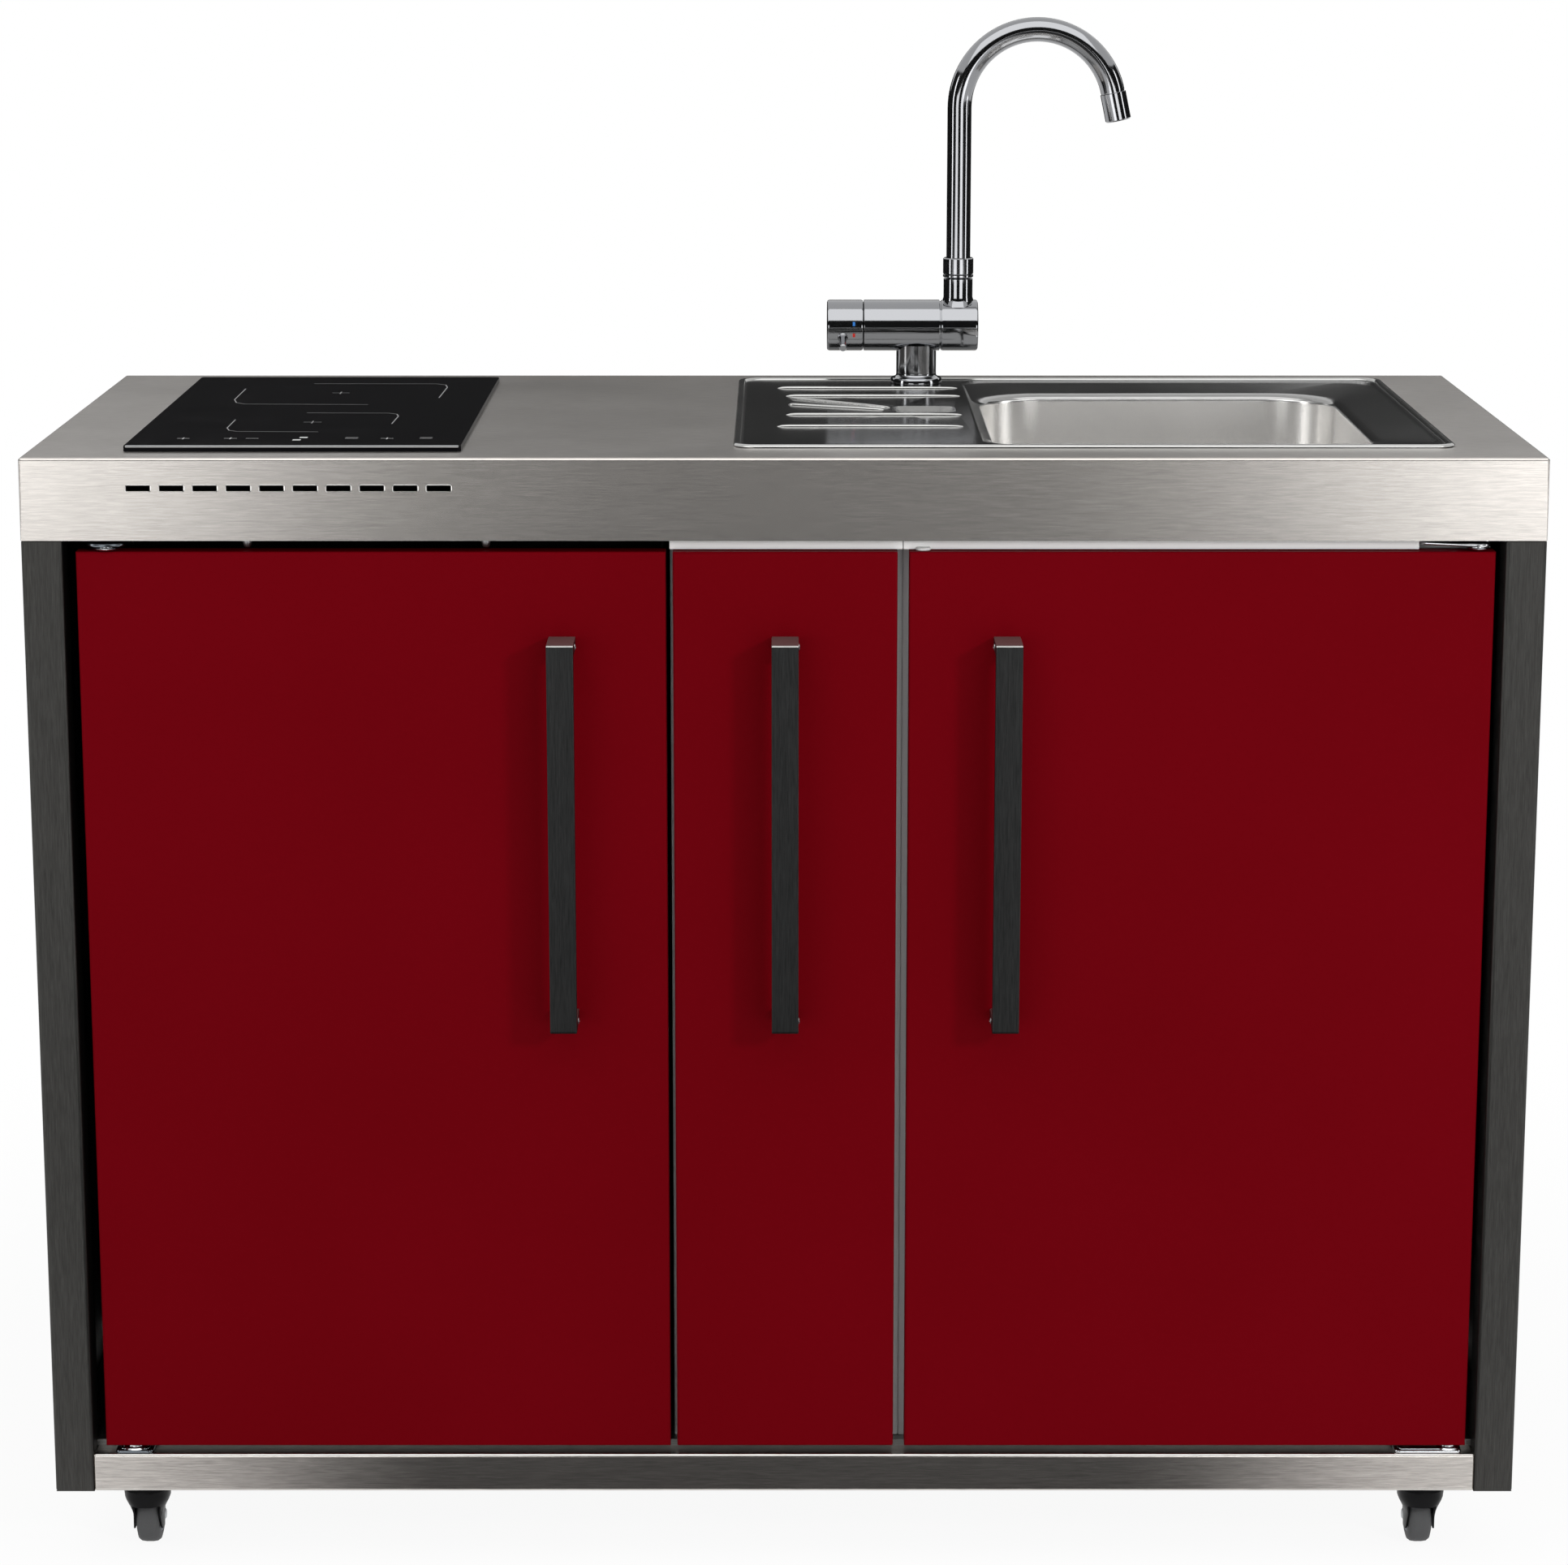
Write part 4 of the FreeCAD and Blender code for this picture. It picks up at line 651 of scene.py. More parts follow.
def buildSink(own):
    low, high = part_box("sink")
    low = Vector((low.x, low.y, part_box("worktop")[1].z))
    steps, roll, corner = own.cornerSteps, own.roll, own.corner
    deck = high.z - own.deckDrop
    rise = (high.z - low.z) * own.rollShare
    bm = bmesh.new()
    bands = [(0.0, low.z, corner)]
    bands += [(*place, corner - roll) for place in arc((roll, high.z - rise), roll, 180, -180, own.rollSteps, rise)]
    bands.append((2 * roll + own.rollFoot, deck, corner - roll))
    rim = [insetLoop(bm, low, high, *band, steps) for band in bands]
    bridgeAll(bm, rim, 1)

    def opening(corners, inset, height, radius):
        return insetLoop(bm, *corners, inset, height, radius, steps)

    lipInset, lipDrop, lipRadius = own.lip
    mouth = opening(own.mouth, 0.0, deck, own.mouthRadius)
    lip = opening(own.mouth, lipInset, deck + lipDrop, lipRadius)
    trough = opening(own.trough, 0.0, deck, own.troughRadius)
    pocket = opening(own.pocket, 0.0, deck - own.troughDepth, own.pocketRadius)
    edges = []
    for loop in (rim[-1], mouth, trough):
        for vert, after in zip(loop, loop[1:] + loop[:1]):
            edges.append(bm.edges.get((vert, after)) or bm.edges.new((vert, after)))
    bmesh.ops.triangle_fill(bm, use_beauty=True, use_dissolve=False, edges=edges)
    bridge(bm, trough, pocket, 1)
    bm.faces.new(pocket).material_index = 1
    bridge(bm, mouth, lip)

    radius, draft, curve, lead = own.bowlRadius, own.draft, own.floorRadius, own.lead
    floorZ, shoulderZ = high.z - own.depth, deck - own.shoulderDrop
    bands = [(-lead, shoulderZ + own.leadRise, radius + lead)]
    edge = arc((0, shoulderZ - own.leadDrop), lead, 90, -90, own.leadSteps, own.leadDrop)  # soft edge of the wall
    bands += [(*place, radius) for place in edge[1:]]
    bands += [(draft / 2, (shoulderZ + floorZ) / 2, radius), (draft, floorZ + curve, radius)]
    foot = arc((draft + curve, floorZ + curve + own.floorFall), curve, 180, 90, own.floorSteps)
    bands += [(*place, radius - own.floorTaper) for place in foot[1:]]
    loops = [lip] + [opening(own.bowl, *band) for band in bands]
    waste = middleOf("sink_strainer")
    hole = []
    for vert in loops[-1]:
        away = (vert.co.xy - waste.xy).normalized() * own.wasteRadius
        hole.append(bm.verts.new((waste.x + away.x, waste.y + away.y, floorZ)))
    loops.append(hole)
    shoulder = own.shoulderBands
    bridgeAll(bm, loops[:shoulder + 1])
    bridgeAll(bm, loops[shoulder:], 2)
    turnOutward(bm)
    if any(face.normal.z < own.downFrom for face in bm.faces):
        bmesh.ops.reverse_faces(bm, faces=bm.faces)
    addPiece("sinkPressing", bm, ["drainerSteel", "ribSteel", "bowlSteel"], "kitchen",
             ["sink", "sink_bowl", "sink_bowl_corners"], own.smooth, False)
    lines = bpy.data.meshes.new("drainerLines")
    lines.from_pydata([(x, y, deck) for rib in own.ribs for x, y in rib],
                      [(2 * index, 2 * index + 1) for index in range(len(own.ribs))], [])
    grown = growMesh("drainerRibs", lines, ribTree(own),
                     {"Radius": own.ribWidth / 2, "Finish": looks["ribSteel"]})
    addMesh("drainerRibs", grown, "kitchen", (), own.ribSmooth)


buildSink(named(sinkSettings))


# strainer: profiles of (radius, height) from its top, the foot's from its bottom
strainerSettings = dict(
    basket=[(0, -0.023), (0.037, -0.022), (0.041, -0.018), (0.042, -0.003), (0.045, 0.0), (0.0515, -0.0004),
            (0.0545, -0.002)],
    foot=[(0.0525, 0.036), (0.044, 0.034), (0.044, 0.0), (0, 0.0)],
    plug=[(0.012, -0.022), (0.012, -0.012), (0.009, -0.008), (0, -0.007)],
    hole=[(0, -0.0214), (0.0032, -0.0214), (0.0038, -0.022)], holeRing=0.026, holeCount=12,
    sides=48, plugSides=32, holeSides=12,
)


def buildStrainer(own):
    low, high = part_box("sink_strainer")
    middle = middleOf("sink_strainer")
    bm = bmesh.new()
    lathe(bm, lifted(own.basket, high.z) + lifted(own.foot, low.z), (middle.x, middle.y, 0), zAxis, own.sides)
    lathe(bm, own.plug, (middle.x, middle.y, high.z), zAxis, own.plugSides)
    # black discs on the basket floor: painted shade standing in for the drain holes
    for turn in circle(own.holeCount):
        x, y = (own.holeRing * part for part in (math.cos(turn), math.sin(turn)))
        lathe(bm, own.hole, (middle.x + x, middle.y + y, high.z), zAxis, own.holeSides, 1)
    addPiece("strainerBasket", bm, ["ribSteel", "blackPaint"], "kitchen", ["sink_strainer"])


buildStrainer(named(strainerSettings))
print("sink pressed")


# tap: turned base, cross barrel, end knob with pin lever, collar, swan neck and nozzle
tapSettings = dict(
    smooth=32, neckSmooth=45, barrelSides=96, leverSides=32, neckSides=56, ringSides=40,
    barrelRadius=0.0245, edge=0.0022, seam=0.0007, seamEdge=0.0008, seamDepth=0.0015, seamReach=0.002,
    endLength=0.036, softShare=0.3, deckGap=0.0015,
    socketFoot=[(0.017, -0.006), (0.0152, -0.001), (0.014, 0.003)],  # from the top of the barrel
    socketTop=[(0.014, -0.0013), (0.013, -0.0003), (0, -0.0003)],  # from the foot of the collar
    stemFoot=[(0, 0.0), (0.025, 0.0), (0.025, 0.0035), (0.0238, 0.0055), (0.0215, 0.0062), (0.0204, 0.0068),
              (0.0196, 0.0076), (0.0192, 0.009), (0.0192, 0.0098)],  # from the deck
    stemTop=[(0.0192, 0.005), (0.0192, 0.006), (0, 0.006)],  # from the underside of the barrel
    lever=[(0.0056, 0.0225), (0.0046, 0.0255), (0.0034, 0.0275), (0.003128, 0.0415), (0.003808, 0.043),
           (0.00306, 0.0445), (0, 0.0445)],
    leverInset=0.015, leverDip=24,
    marks=[("coldMark", "markBlue", 4), ("warmMark", "markRed", -22)], markSpan=9, markSteps=4,
    markInset=0.0105, markWidth=0.0024, markLift=0.00015,
    collarFoot=[(0, 0.0), (0.0138, 0.0), (0.0146, 0.0008), (0.0146, 0.0025), (0.0137, 0.0032), (0.0146, 0.004)],
    collarTop=[(0.0146, -0.001), (0.0136, 0.0), (0, 0.0)],
    spoutRadius=0.0115, spoutStart=(-0.004, 0.02), arcRadius=0.074, arcZ=1.265, arcLead=0.02,
    sweep=168, pathSteps=48,
    nozzle=[(0, 0.0), (0.0111, 0.0), (0.0111, 0.0009), (0.0123, 0.0014), (0.0123, 0.0268), (0.0111, 0.028),
            (0.0093, 0.028), (0.0089, 0.024), (0, 0.024)],
    meshRing=[(0.0, 0.0238), (0.0006, 0.0246), (0.0012, 0.0238)], meshReach=(0.0025, 0.005, 0.0075),
)


def barrelProfile(radius, start, end, edge, soft):
    return [(0, start), (radius - edge, start), (radius - edge * soft, start + edge * soft), (radius, start + edge),
            (radius, end - edge), (radius - edge * soft, end - edge * soft), (radius - edge, end), (0, end)]


def buildTap(own):
    bodyLow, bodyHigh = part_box("tap_body")
    knobLow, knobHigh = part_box("tap_knob")
    collarLow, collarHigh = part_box("tap_collar")
    axis, stand, column = middleOf("tap_knob"), middleOf("tap_base"), middleOf("tap_collar")
    radius, edge, soft = own.barrelRadius, own.edge, own.softShare
    barrelLine = (0, axis.y, axis.z)
    split = bodyHigh.x - own.endLength
    groove, reach = radius - own.seamDepth, own.seamReach
    bm = bmesh.new()
    lathe(bm, barrelProfile(radius, bodyLow.x, split - own.seam, own.seamEdge, soft), barrelLine, xAxis,
          own.barrelSides)
    lathe(bm, barrelProfile(radius, split, bodyHigh.x, edge, soft), barrelLine, xAxis, own.barrelSides)
    lathe(bm, [(groove, split - reach), (groove, split + reach)], barrelLine, xAxis)
    lathe(bm, lifted(own.socketFoot, axis.z + radius) + lifted(own.socketTop, collarLow.z),
          (column.x, axis.y, 0), zAxis)
    addPiece("tapBarrel", bm, ["chrome"], "kitchen", ["tap_body"], own.smooth)

    bm = bmesh.new()
    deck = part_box("tap_base")[0].z - own.deckGap
    lathe(bm, lifted(own.stemFoot, deck) + lifted(own.stemTop, axis.z - radius), (stand.x, stand.y, 0), zAxis)
    addPiece("tapStem", bm, ["chrome"], "kitchen", ["tap_base"], own.smooth)

    bm = bmesh.new()
    lathe(bm, barrelProfile(radius, knobLow.x, knobHigh.x, edge, soft), barrelLine, xAxis, own.barrelSides)
    dip = math.radians(own.leverDip)
    lathe(bm, own.lever, (knobLow.x + own.leverInset, axis.y, axis.z),
          (0, -math.cos(dip), -math.sin(dip)), own.leverSides)
    addPiece("tapKnob", bm, ["chrome"], "knob_unit", ["tap_knob", "tap_lever"], own.smooth)
    start = knobHigh.x - own.markInset
    for name, material, angle in own.marks:
        bm = bmesh.new()
        around = arc((-axis.y, axis.z), radius + own.markLift, angle, own.markSpan, own.markSteps)
        rows = [[bm.verts.new((x, -y, z)) for x in (start, start + own.markWidth)] for y, z in around]
        for first, second in zip(rows, rows[1:]):
            bm.faces.new((first[0], first[1], second[1], second[0]))
        addPiece(name, bm, [material], "knob_unit", closed=False)

    bm = bmesh.new()
    lathe(bm, lifted(own.collarFoot, collarLow.z) + lifted(own.collarTop, collarHigh.z),
          (column.x, column.y, 0), zAxis)
    addPiece("spoutCollar", bm, ["chrome"], "spout_unit", ["tap_collar"], own.smooth)

    bend, arcZ = own.arcRadius, own.arcZ
    heights = [collarHigh.z + shift for shift in own.spoutStart] + [arcZ - own.arcLead]
    path = [(column.x, z) for z in heights]
    path += arc((column.x + bend, arcZ), bend, 180, -own.sweep, own.pathSteps)
    bm = bmesh.new()
    sweep(bm, [(x, column.y, z) for x, z in path], own.spoutRadius, (0, 1, 0), own.neckSides)
    addPiece("swanNeck", bm, ["chrome"], "spout_unit", ["tap_spout"], own.neckSmooth)

    last = math.radians(180 - own.sweep)
    tip, down = (path[-1][0], column.y, path[-1][1]), (math.sin(last), 0, -math.cos(last))
    bm = bmesh.new()
    lathe(bm, own.nozzle, tip, down, own.neckSides)
    for reach in own.meshReach:
        lathe(bm, [(reach + wide, along) for wide, along in own.meshRing], tip, down, own.ringSides)
    addPiece("spoutNozzle", bm, ["chrome"], "spout_unit", ["tap_aerator"], own.smooth)


buildTap(named(tapSettings))
print("tap turned")


# casters: domed swivel head, hooded fork, tyre on a hub and a foot pedal on the front pair
casterSettings = dict(
    smooth=40, sides=48, axleSides=20,
    trail=0.016, crownRadius=0.0208, crownRings=[(0.5, 0.0062), (0.78, 0.0066), (0.93, 0.008)],
    wall=0.0018, lean=0.0071, leanFrom=0.2, leanOver=0.6, stretch=0.0032, shoulder=0.011,
    cheekFoot=-0.0078, archFront=0.0185, archBack=0.035, archFrom=0.25, archOver=0.55, square=0.78,
    shift=0.34, around=64, rows=9,
    bearing=[(0, 0.0), (0.0115, 0.0), (0.0125, -0.001), (0.0125, -0.0048), (0.0143, -0.0056), (0.0143, -0.0068)],
    axle=[(0.0048, -0.001), (0.0048, 0.0006), (0.0038, 0.0014), (0, 0.0014)], axleInset=0.001,
    tyre=[(0.016, -0.0105), (0.019, -0.0105), (0.0225, -0.0095), (0.0244, -0.007), (0.025, -0.003), (0.025, 0.003),
          (0.0244, 0.007), (0.0225, 0.0095), (0.019, 0.0105), (0.016, 0.0105), (0.016, -0.0105)],
    hub=[(0.016, 0.0099), (0.0148, 0.0109), (0.013, 0.0107), (0.011, 0.0085), (0.0065, 0.0085), (0.0055, 0.0109),
         (0, 0.0109)],
    pedalRadius=0.006, pedalThick=0.0045, pedalBevel=0.001, treads=3, treadStart=0.005, treadPitch=0.004,
    tread=[("---", (0.004, -0.0008, -0.0004), "+--", (-0.004, 0.0008, 0.0007))], treadBevel=0.0003,
)


def clamped(share):
    return max(0.0, min(1.0, share))


def eased(share):
    share = clamped(share)
    return share * share * (3 - 2 * share)


def buildCaster(corner, own):
    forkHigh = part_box("caster_fork_" + corner)[1]
    hub = middleOf("caster_wheel_" + corner)
    label = corner.title().replace("_", "")
    crown, crownY = own.crownRadius, hub.y - own.trail
    turns = circle(own.around)
    bm = bmesh.new()

    def hoodRing(share, thin):
        # round at the crown, drawn in towards the axle, arched over the wheel
        ring = []
        top, foot = forkHigh.z - own.shoulder, own.cheekFoot
        for turn in turns:
            across, along = math.cos(turn), math.sin(turn)
            arch = own.archFront if along < 0 else own.archBack
            bottom = foot + (arch - foot) * eased((abs(along) - own.archFrom) / own.archOver)
            z = top + (hub.z + bottom - top) * share
            sink = clamped((top - z) / (top - hub.z))
            wide = crown - own.lean * eased((sink - own.leanFrom) / own.leanOver) - thin
            deep = crown + own.stretch * clamped(sink * 2) - thin
            middleY = crownY + own.trail * own.shift * clamped(sink * 2)
            ring.append(bm.verts.new((hub.x + math.copysign(wide * abs(across) ** own.square, across),
                                      min(middleY + deep * along, forkHigh.y - thin), z)))
        return ring

    rings = [[bm.verts.new((hub.x + crown * share * math.cos(turn), crownY + crown * share * math.sin(turn),
                            forkHigh.z - drop)) for turn in turns] for share, drop in own.crownRings]
    shares = [step / own.rows for step in range(own.rows + 1)]
    rings += [hoodRing(share, 0.0) for share in shares]
    rings += [hoodRing(share, own.wall) for share in reversed(shares)]
    bridgeAll(bm, rings, 0, True)
    lathe(bm, own.bearing, (hub.x, crownY, forkHigh.z), zAxis, own.sides, 1)
    foot = crown - own.lean - own.axleInset
    for side in (-1, 1):
        lathe(bm, own.axle, (hub.x + side * foot, hub.y, hub.z), (side, 0, 0), own.axleSides, 1)
    addPiece("casterFork" + label, bm, ["casterPlastic", "zincSteel"], "fork_" + corner,
             ["caster_fork_" + corner], own.smooth)
    bm = bmesh.new()
    lathe(bm, own.tyre, hub, xAxis)
    for side in (-1, 1):
        lathe(bm, own.hub, hub, (side, 0, 0), own.sides, 1)
    addPiece("casterWheel" + label, bm, ["tyreRubber", "hubPlastic"], "wheel_" + corner,
             ["caster_wheel_" + corner], own.smooth)
    if not corner.startswith("front"):
        return
    low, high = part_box("caster_brake_" + corner)
    thick = own.pedalThick
    top = (low.z + high.z + thick) / 2
    bm = bmesh.new()
    addPlate(bm, roundedRect(low.xy, high.xy, own.pedalRadius), "z", top - thick, thick, own.pedalBevel)
    for index in range(own.treads):
        y = high.y - own.treadStart - own.treadPitch * index
        addBlocks(bm, ((low.x, y, top), (high.x, y, top)), own.tread, own.treadBevel, 1)
    addPiece("casterPedal" + label, bm, ["casterPlastic"], "brake_" + corner,
             ["caster_brake_" + corner], own.smooth)


for corner in ("front_left", "front_right", "rear_left", "rear_right"):
    buildCaster(corner, named(casterSettings))
print("casters made")


# white channel of the carcasses above the middle and right fronts, with its folded lip and the door's bumper; the
# channel is painted brighter than the carcass white against the fascia's shade, the lip grey as a painted shade line
channelSettings = dict(
    bumperSides=24,
    setback=0.014, gaps=(0.0006, 0.0004), ends=(-0.003, 0.0046, 0.0052, -0.001), stripBevel=0.0006, lipBevel=0.0003,
    strip=[("---", (0, 0, 0), "+-+", (0, 0.012, 0))],
    lip=[("--+", (0, -0.0016, -0.00288), "+-+", (0, 0.001, -0.00144))],
    bumper=[(0, 0.0), (0.0065, 0.0004), (0.0065, 0.0022), (0.00546, 0.003), (0, 0.003)], bumperInset=0.012,
)


def buildChannel(own):
    frontLow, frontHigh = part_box("pullout_front")
    doorLow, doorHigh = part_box("sink_door")
    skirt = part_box("worktop")[0]
    ends = [x + shift for x, shift in zip((frontLow.x, frontHigh.x, frontHigh.x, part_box("sink_door_hinges")[0].x),
                                          own.ends)]
    y, low, high = skirt.y + own.setback, frontHigh.z + own.gaps[0], skirt.z - own.gaps[1]
    bm = bmesh.new()
    for start, end in (ends[:2], ends[2:]):
        box = ((start, y, low), (end, y, high))
        addBlocks(bm, box, own.strip, own.stripBevel)
        addBlocks(bm, box, own.lip, own.lipBevel, 1, 1)
    addPiece("frontChannel", bm, ["channelWhite", "channelGrey"], "kitchen")
    bm = bmesh.new()
    inset = own.bumperInset
    lathe(bm, own.bumper, (doorLow.x + inset, doorLow.y + inset, doorHigh.z), zAxis, own.bumperSides)
    addPiece("doorBumper", bm, ["whitePlastic"], "sink_door_unit")


buildChannel(named(channelSettings))


# hinges: pressed plates with round noses on turned bushes
hingeSettings = dict(
    bushSides=40,
    plate=0.003, edge=0.001, noseBehind=0.012, noseSteps=20, seatBevel=0.0006, overlap=0.0005,
    tailSeat=0.008, pin=[(0.0038, -0.01), (0.0038, 0.0003)], bush=0.0075, bushStart=0.0032,
    washer=[(0.62, 0.0003), (0.9, 0.0011), (1.0, 0.0022), (0.94, 0.0029)],  # share of the washer's radius
    footFront=0.0004, footBack=0.009, footRadius=0.005, footBevel=0.0011,
    pad=(0.004, 0.0035, 0.003, 0.004), padThick=0.0007, padSink=0.0002, padBevel=0.0003,
    footBush=[(0.0115, 0.003), (0.0105, 0.0042), (0.0075, 0.0048)],
    footPin=[(0.0075, -0.0008), (0.006375, -0.0003), (0.0038, -0.0003), (0.0038, 0.009)],
    fridge={"nodes": ("fridge_hinges", "fridge_cabinet", "fridge_door"), "looks": ["hingeDark", "hingeChrome"],
            "slot": "chrome", "pivot": -0.579, "across": 0.017, "ahead": 0.0118, "washerRadius": 0.0128,
            "seatFront": -0.2292},
    sink={"nodes": ("sink_door_hinges", "sink_cabinet", "sink_door"), "looks": ["hingeChrome", "hingeChrome"],
          "slot": "zinc_steel", "pivot": 0.593, "across": 0.011, "washerRadius": 0.0102, "seatFront": -0.2505,
          "tail": (0.5515, -0.2625), "tailRadius": 0.0068},
)


def buildHinges(name, own):
    one = named(getattr(own, name))
    plate, bevel, overlap = own.plate, own.seatBevel, own.overlap
    node, carrier, door = one.nodes
    low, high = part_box(node)
    doorLow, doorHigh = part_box(door)
    x, y, seat = one.pivot, low.y + own.noseBehind, one.seatFront
    plateLow, seatZ = high.z - plate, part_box(carrier)[1].z
    bm = bmesh.new()
    if hasattr(one, "tail"):
        outline = capsuleOutline(one.tail, one.tailRadius, (x, y), one.across)
        addPlate(bm, outline, "z", plateLow, plate, own.edge)
        addBlock(bm, (low.x, seat - own.tailSeat, plateLow), high, bevel)
    else:
        outline = arc((x, y), one.across, 180, 180, own.noseSteps, one.ahead)
        outline += [(high.x, seat), (high.x, high.y), (low.x, high.y), (low.x, seat)]
        addPlate(bm, outline, "z", plateLow, plate, own.edge)
    if plateLow - seatZ > overlap * 2:
        addBlock(bm, (low.x, seat + overlap, seatZ), (high.x, high.y, plateLow + overlap), bevel)
    bush = own.bush
    washer = [(share * one.washerRadius, along) for share, along in own.washer]
    lathe(bm, lifted(own.pin + washer + [(bush, own.bushStart)], doorHigh.z) + [(bush, plateLow + overlap)],
          (x, y, 0), zAxis, own.bushSides, 1)
    front, back = low.y + own.footFront, y + own.footBack
    side, ahead, behind, padRadius = own.pad
    addPlate(bm, roundedRect((low.x, front), (high.x, back), own.footRadius), "z", low.z, plate,
             own.footBevel)
    addPlate(bm, roundedRect((low.x + side, front + ahead), (high.x - side, back - behind), padRadius), "z",
             low.z + plate - own.padSink, own.padThick, own.padBevel, 1)
    lathe(bm, lifted(own.footBush, low.z) + lifted(own.footPin, doorLow.z), (x, y, 0), zAxis, own.bushSides, 1)
    addPiece(name + "Hinges", bm, one.looks, "kitchen", [node])


for name in ("fridge", "sink"):
    buildHinges(name, named(hingeSettings))
print("hinges fitted")


# handles: flat bars bent into two legs, in a darkened steel that paints the shade of the dark room they reflect,
# their upward faces in a lighter steel that paints the light from above
handleSettings = dict(smooth=30, bar=0.009, leg=0.011, bend=0.0022, bendSteps=4, edge=0.0006, brightFrom=0.3,
                      carriers={"fridge_handle": "fridge_door_unit", "pullout_handle": "pullout_unit",
                                "sink_door_handle": "sink_door_unit"})


def buildHandle(node, body, own):
    low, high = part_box(node)
    leg, bend, steps, inner = own.leg, own.bend, own.bendSteps, low.y + own.bar
    outline = [(high.y, low.z)]
    for z, start in ((low.z + bend, -90), (high.z - bend, -180)):
        outline += arc((low.y + bend, z), bend, start, -90, steps)
    outline.append((high.y, high.z))
    outline += [(high.y, high.z - leg), (inner, high.z - leg), (inner, low.z + leg), (high.y, low.z + leg)]
    bm = bmesh.new()
    addPlate(bm, outline, "x", low.x, high.x - low.x, own.edge)
    # upward faces take the lighter steel: painted light on the tops
    for face in bm.faces:
        face.material_index = int(face.normal.z > own.brightFrom)
    addPiece(node.split("_")[0] + "Handle", bm, ["handleSteel", "handleEdgeSteel"], body, [node],
             own.smooth)


for node, body in handleSettings["carriers"].items():
    buildHandle(node, body, named(handleSettings))
print("handles bent")


# screws and bolts, each set grown by the node tree
screwSettings = dict(
    smooth=35, seeds=(3, 5, 7),
    panelHead=(0.0045, 0.0016, 0.0021), boltHead=(0.0042, 0.0085, 0.0024), gripHead=(0.0028, 0.0012, 0.0014),
    dome=[(1, -0.2), (1, 0.45), (0.82, 0.85)], recess=[(1, 1), (0.92, 0.4), (0, 0.4)], sides=18,
    edge=0.014, columns=4, bolts=[(-0.4595, -0.262), (-0.2551, -0.262)], gripBack=0.02, gripEnd=0.0055,
    gripFacing={"fridge_handle": 1, "pullout_handle": 1, "sink_door_handle": -1},
)


def fastenerHead(own, name):
    # round head with a recess
    radius, height, recess = getattr(own, name)
    bm = bmesh.new()
    dome = [(radius * wide, height * along) for wide, along in own.dome] + [(recess, height)]
    for profile in (dome, [(recess * wide, height * along) for wide, along in own.recess]):
        lathe(bm, profile, (0, 0, 0), zAxis, own.sides)
    return bm


def buildScrews(own):
    (low, high), (backLow, backHigh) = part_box("side_panels"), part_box("back_panel")
    edge = own.edge
    places = []
    for z in (low.z + edge, (low.z + high.z) / 2, high.z - edge):
        for y in (low.y + edge, (low.y + high.y) / 2, high.y - edge):
            places += [((low.x, y, z), (-1, 0, 0)), ((high.x, y, z), (1, 0, 0))]
        for step in range(own.columns + 1):
            x = backLow.x + edge + (backHigh.x - backLow.x - 2 * edge) * step / own.columns
            places.append(((x, backHigh.y, z), (0, 1, 0)))
    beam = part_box("top_frame")[0].z
    bolts = [((x, y, beam), (0, 0, -1)) for x, y in own.bolts]
    panelSeed, boltSeed, gripSeed = own.seeds
    sets = [("panelScrews", "panelHead", places, "kitchen", panelSeed),
            ("skirtBolts", "boltHead", bolts, "kitchen", boltSeed)]
    for handle, body in handleSettings["carriers"].items():
        low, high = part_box(handle)
        facing, end = own.gripFacing[handle], own.gripEnd
        x = high.x if facing > 0 else low.x
        grips = [((x, high.y - own.gripBack, z), (facing, 0, 0)) for z in (low.z + end, high.z - end)]
        sets.append((handle.split("_")[0] + "GripScrews", "gripHead", grips, body, gripSeed))
    for name, head, places, body, seed in sets:
        spots, facings = zip(*places)
        addCopies(name, fastenerHead(own, head), spots, body, "zincSteel", own.smooth, facings, seed)


buildScrews(named(screwSettings))
print("screws set")


# louvre hoods over the slots of the back panel
louvreSettings = dict(
    smooth=50,
    rows=8, pitch=0.024, drop=0.07, slot=0.008, half=0.032, proud=0.0018, sheet=0.0006, crest=0.0068, fall=0.01,
    steps=12, bands=5, endRise=0.02, endPower=6, columns=(-0.5, -0.3525, -0.205),
)


def buildLouvres(own):
    outer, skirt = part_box("back_panel")[1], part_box("worktop")[0]
    bm = bmesh.new()
    rows = []
    for step in range(own.steps + 1):
        along = -1 + 2 * step / own.steps
        rise = max(own.endRise, 1 - abs(along) ** own.endPower)
        turns = [math.pi / 2 * band / own.bands for band in range(own.bands + 1)]
        rows.append([bm.verts.new((along * own.half, own.proud * math.sin(turn) * rise,
                                   own.crest - own.fall * (1 - math.cos(turn)) * rise)) for turn in turns])
    for first, second in zip(rows, rows[1:]):
        for index in range(own.bands):
            bm.faces.new((first[index], second[index], second[index + 1], first[index + 1]))
    bmesh.ops.solidify(bm, geom=bm.faces[:], thickness=own.sheet)
    turnOutward(bm)
    top = skirt.z - own.drop + own.slot / 2
    places = [(x, outer.y - own.sheet, top - row * own.pitch)
              for x in own.columns for row in range(own.rows)]
    addCopies("louvreHoods", bm, places, "kitchen", "panelSteel", own.smooth)


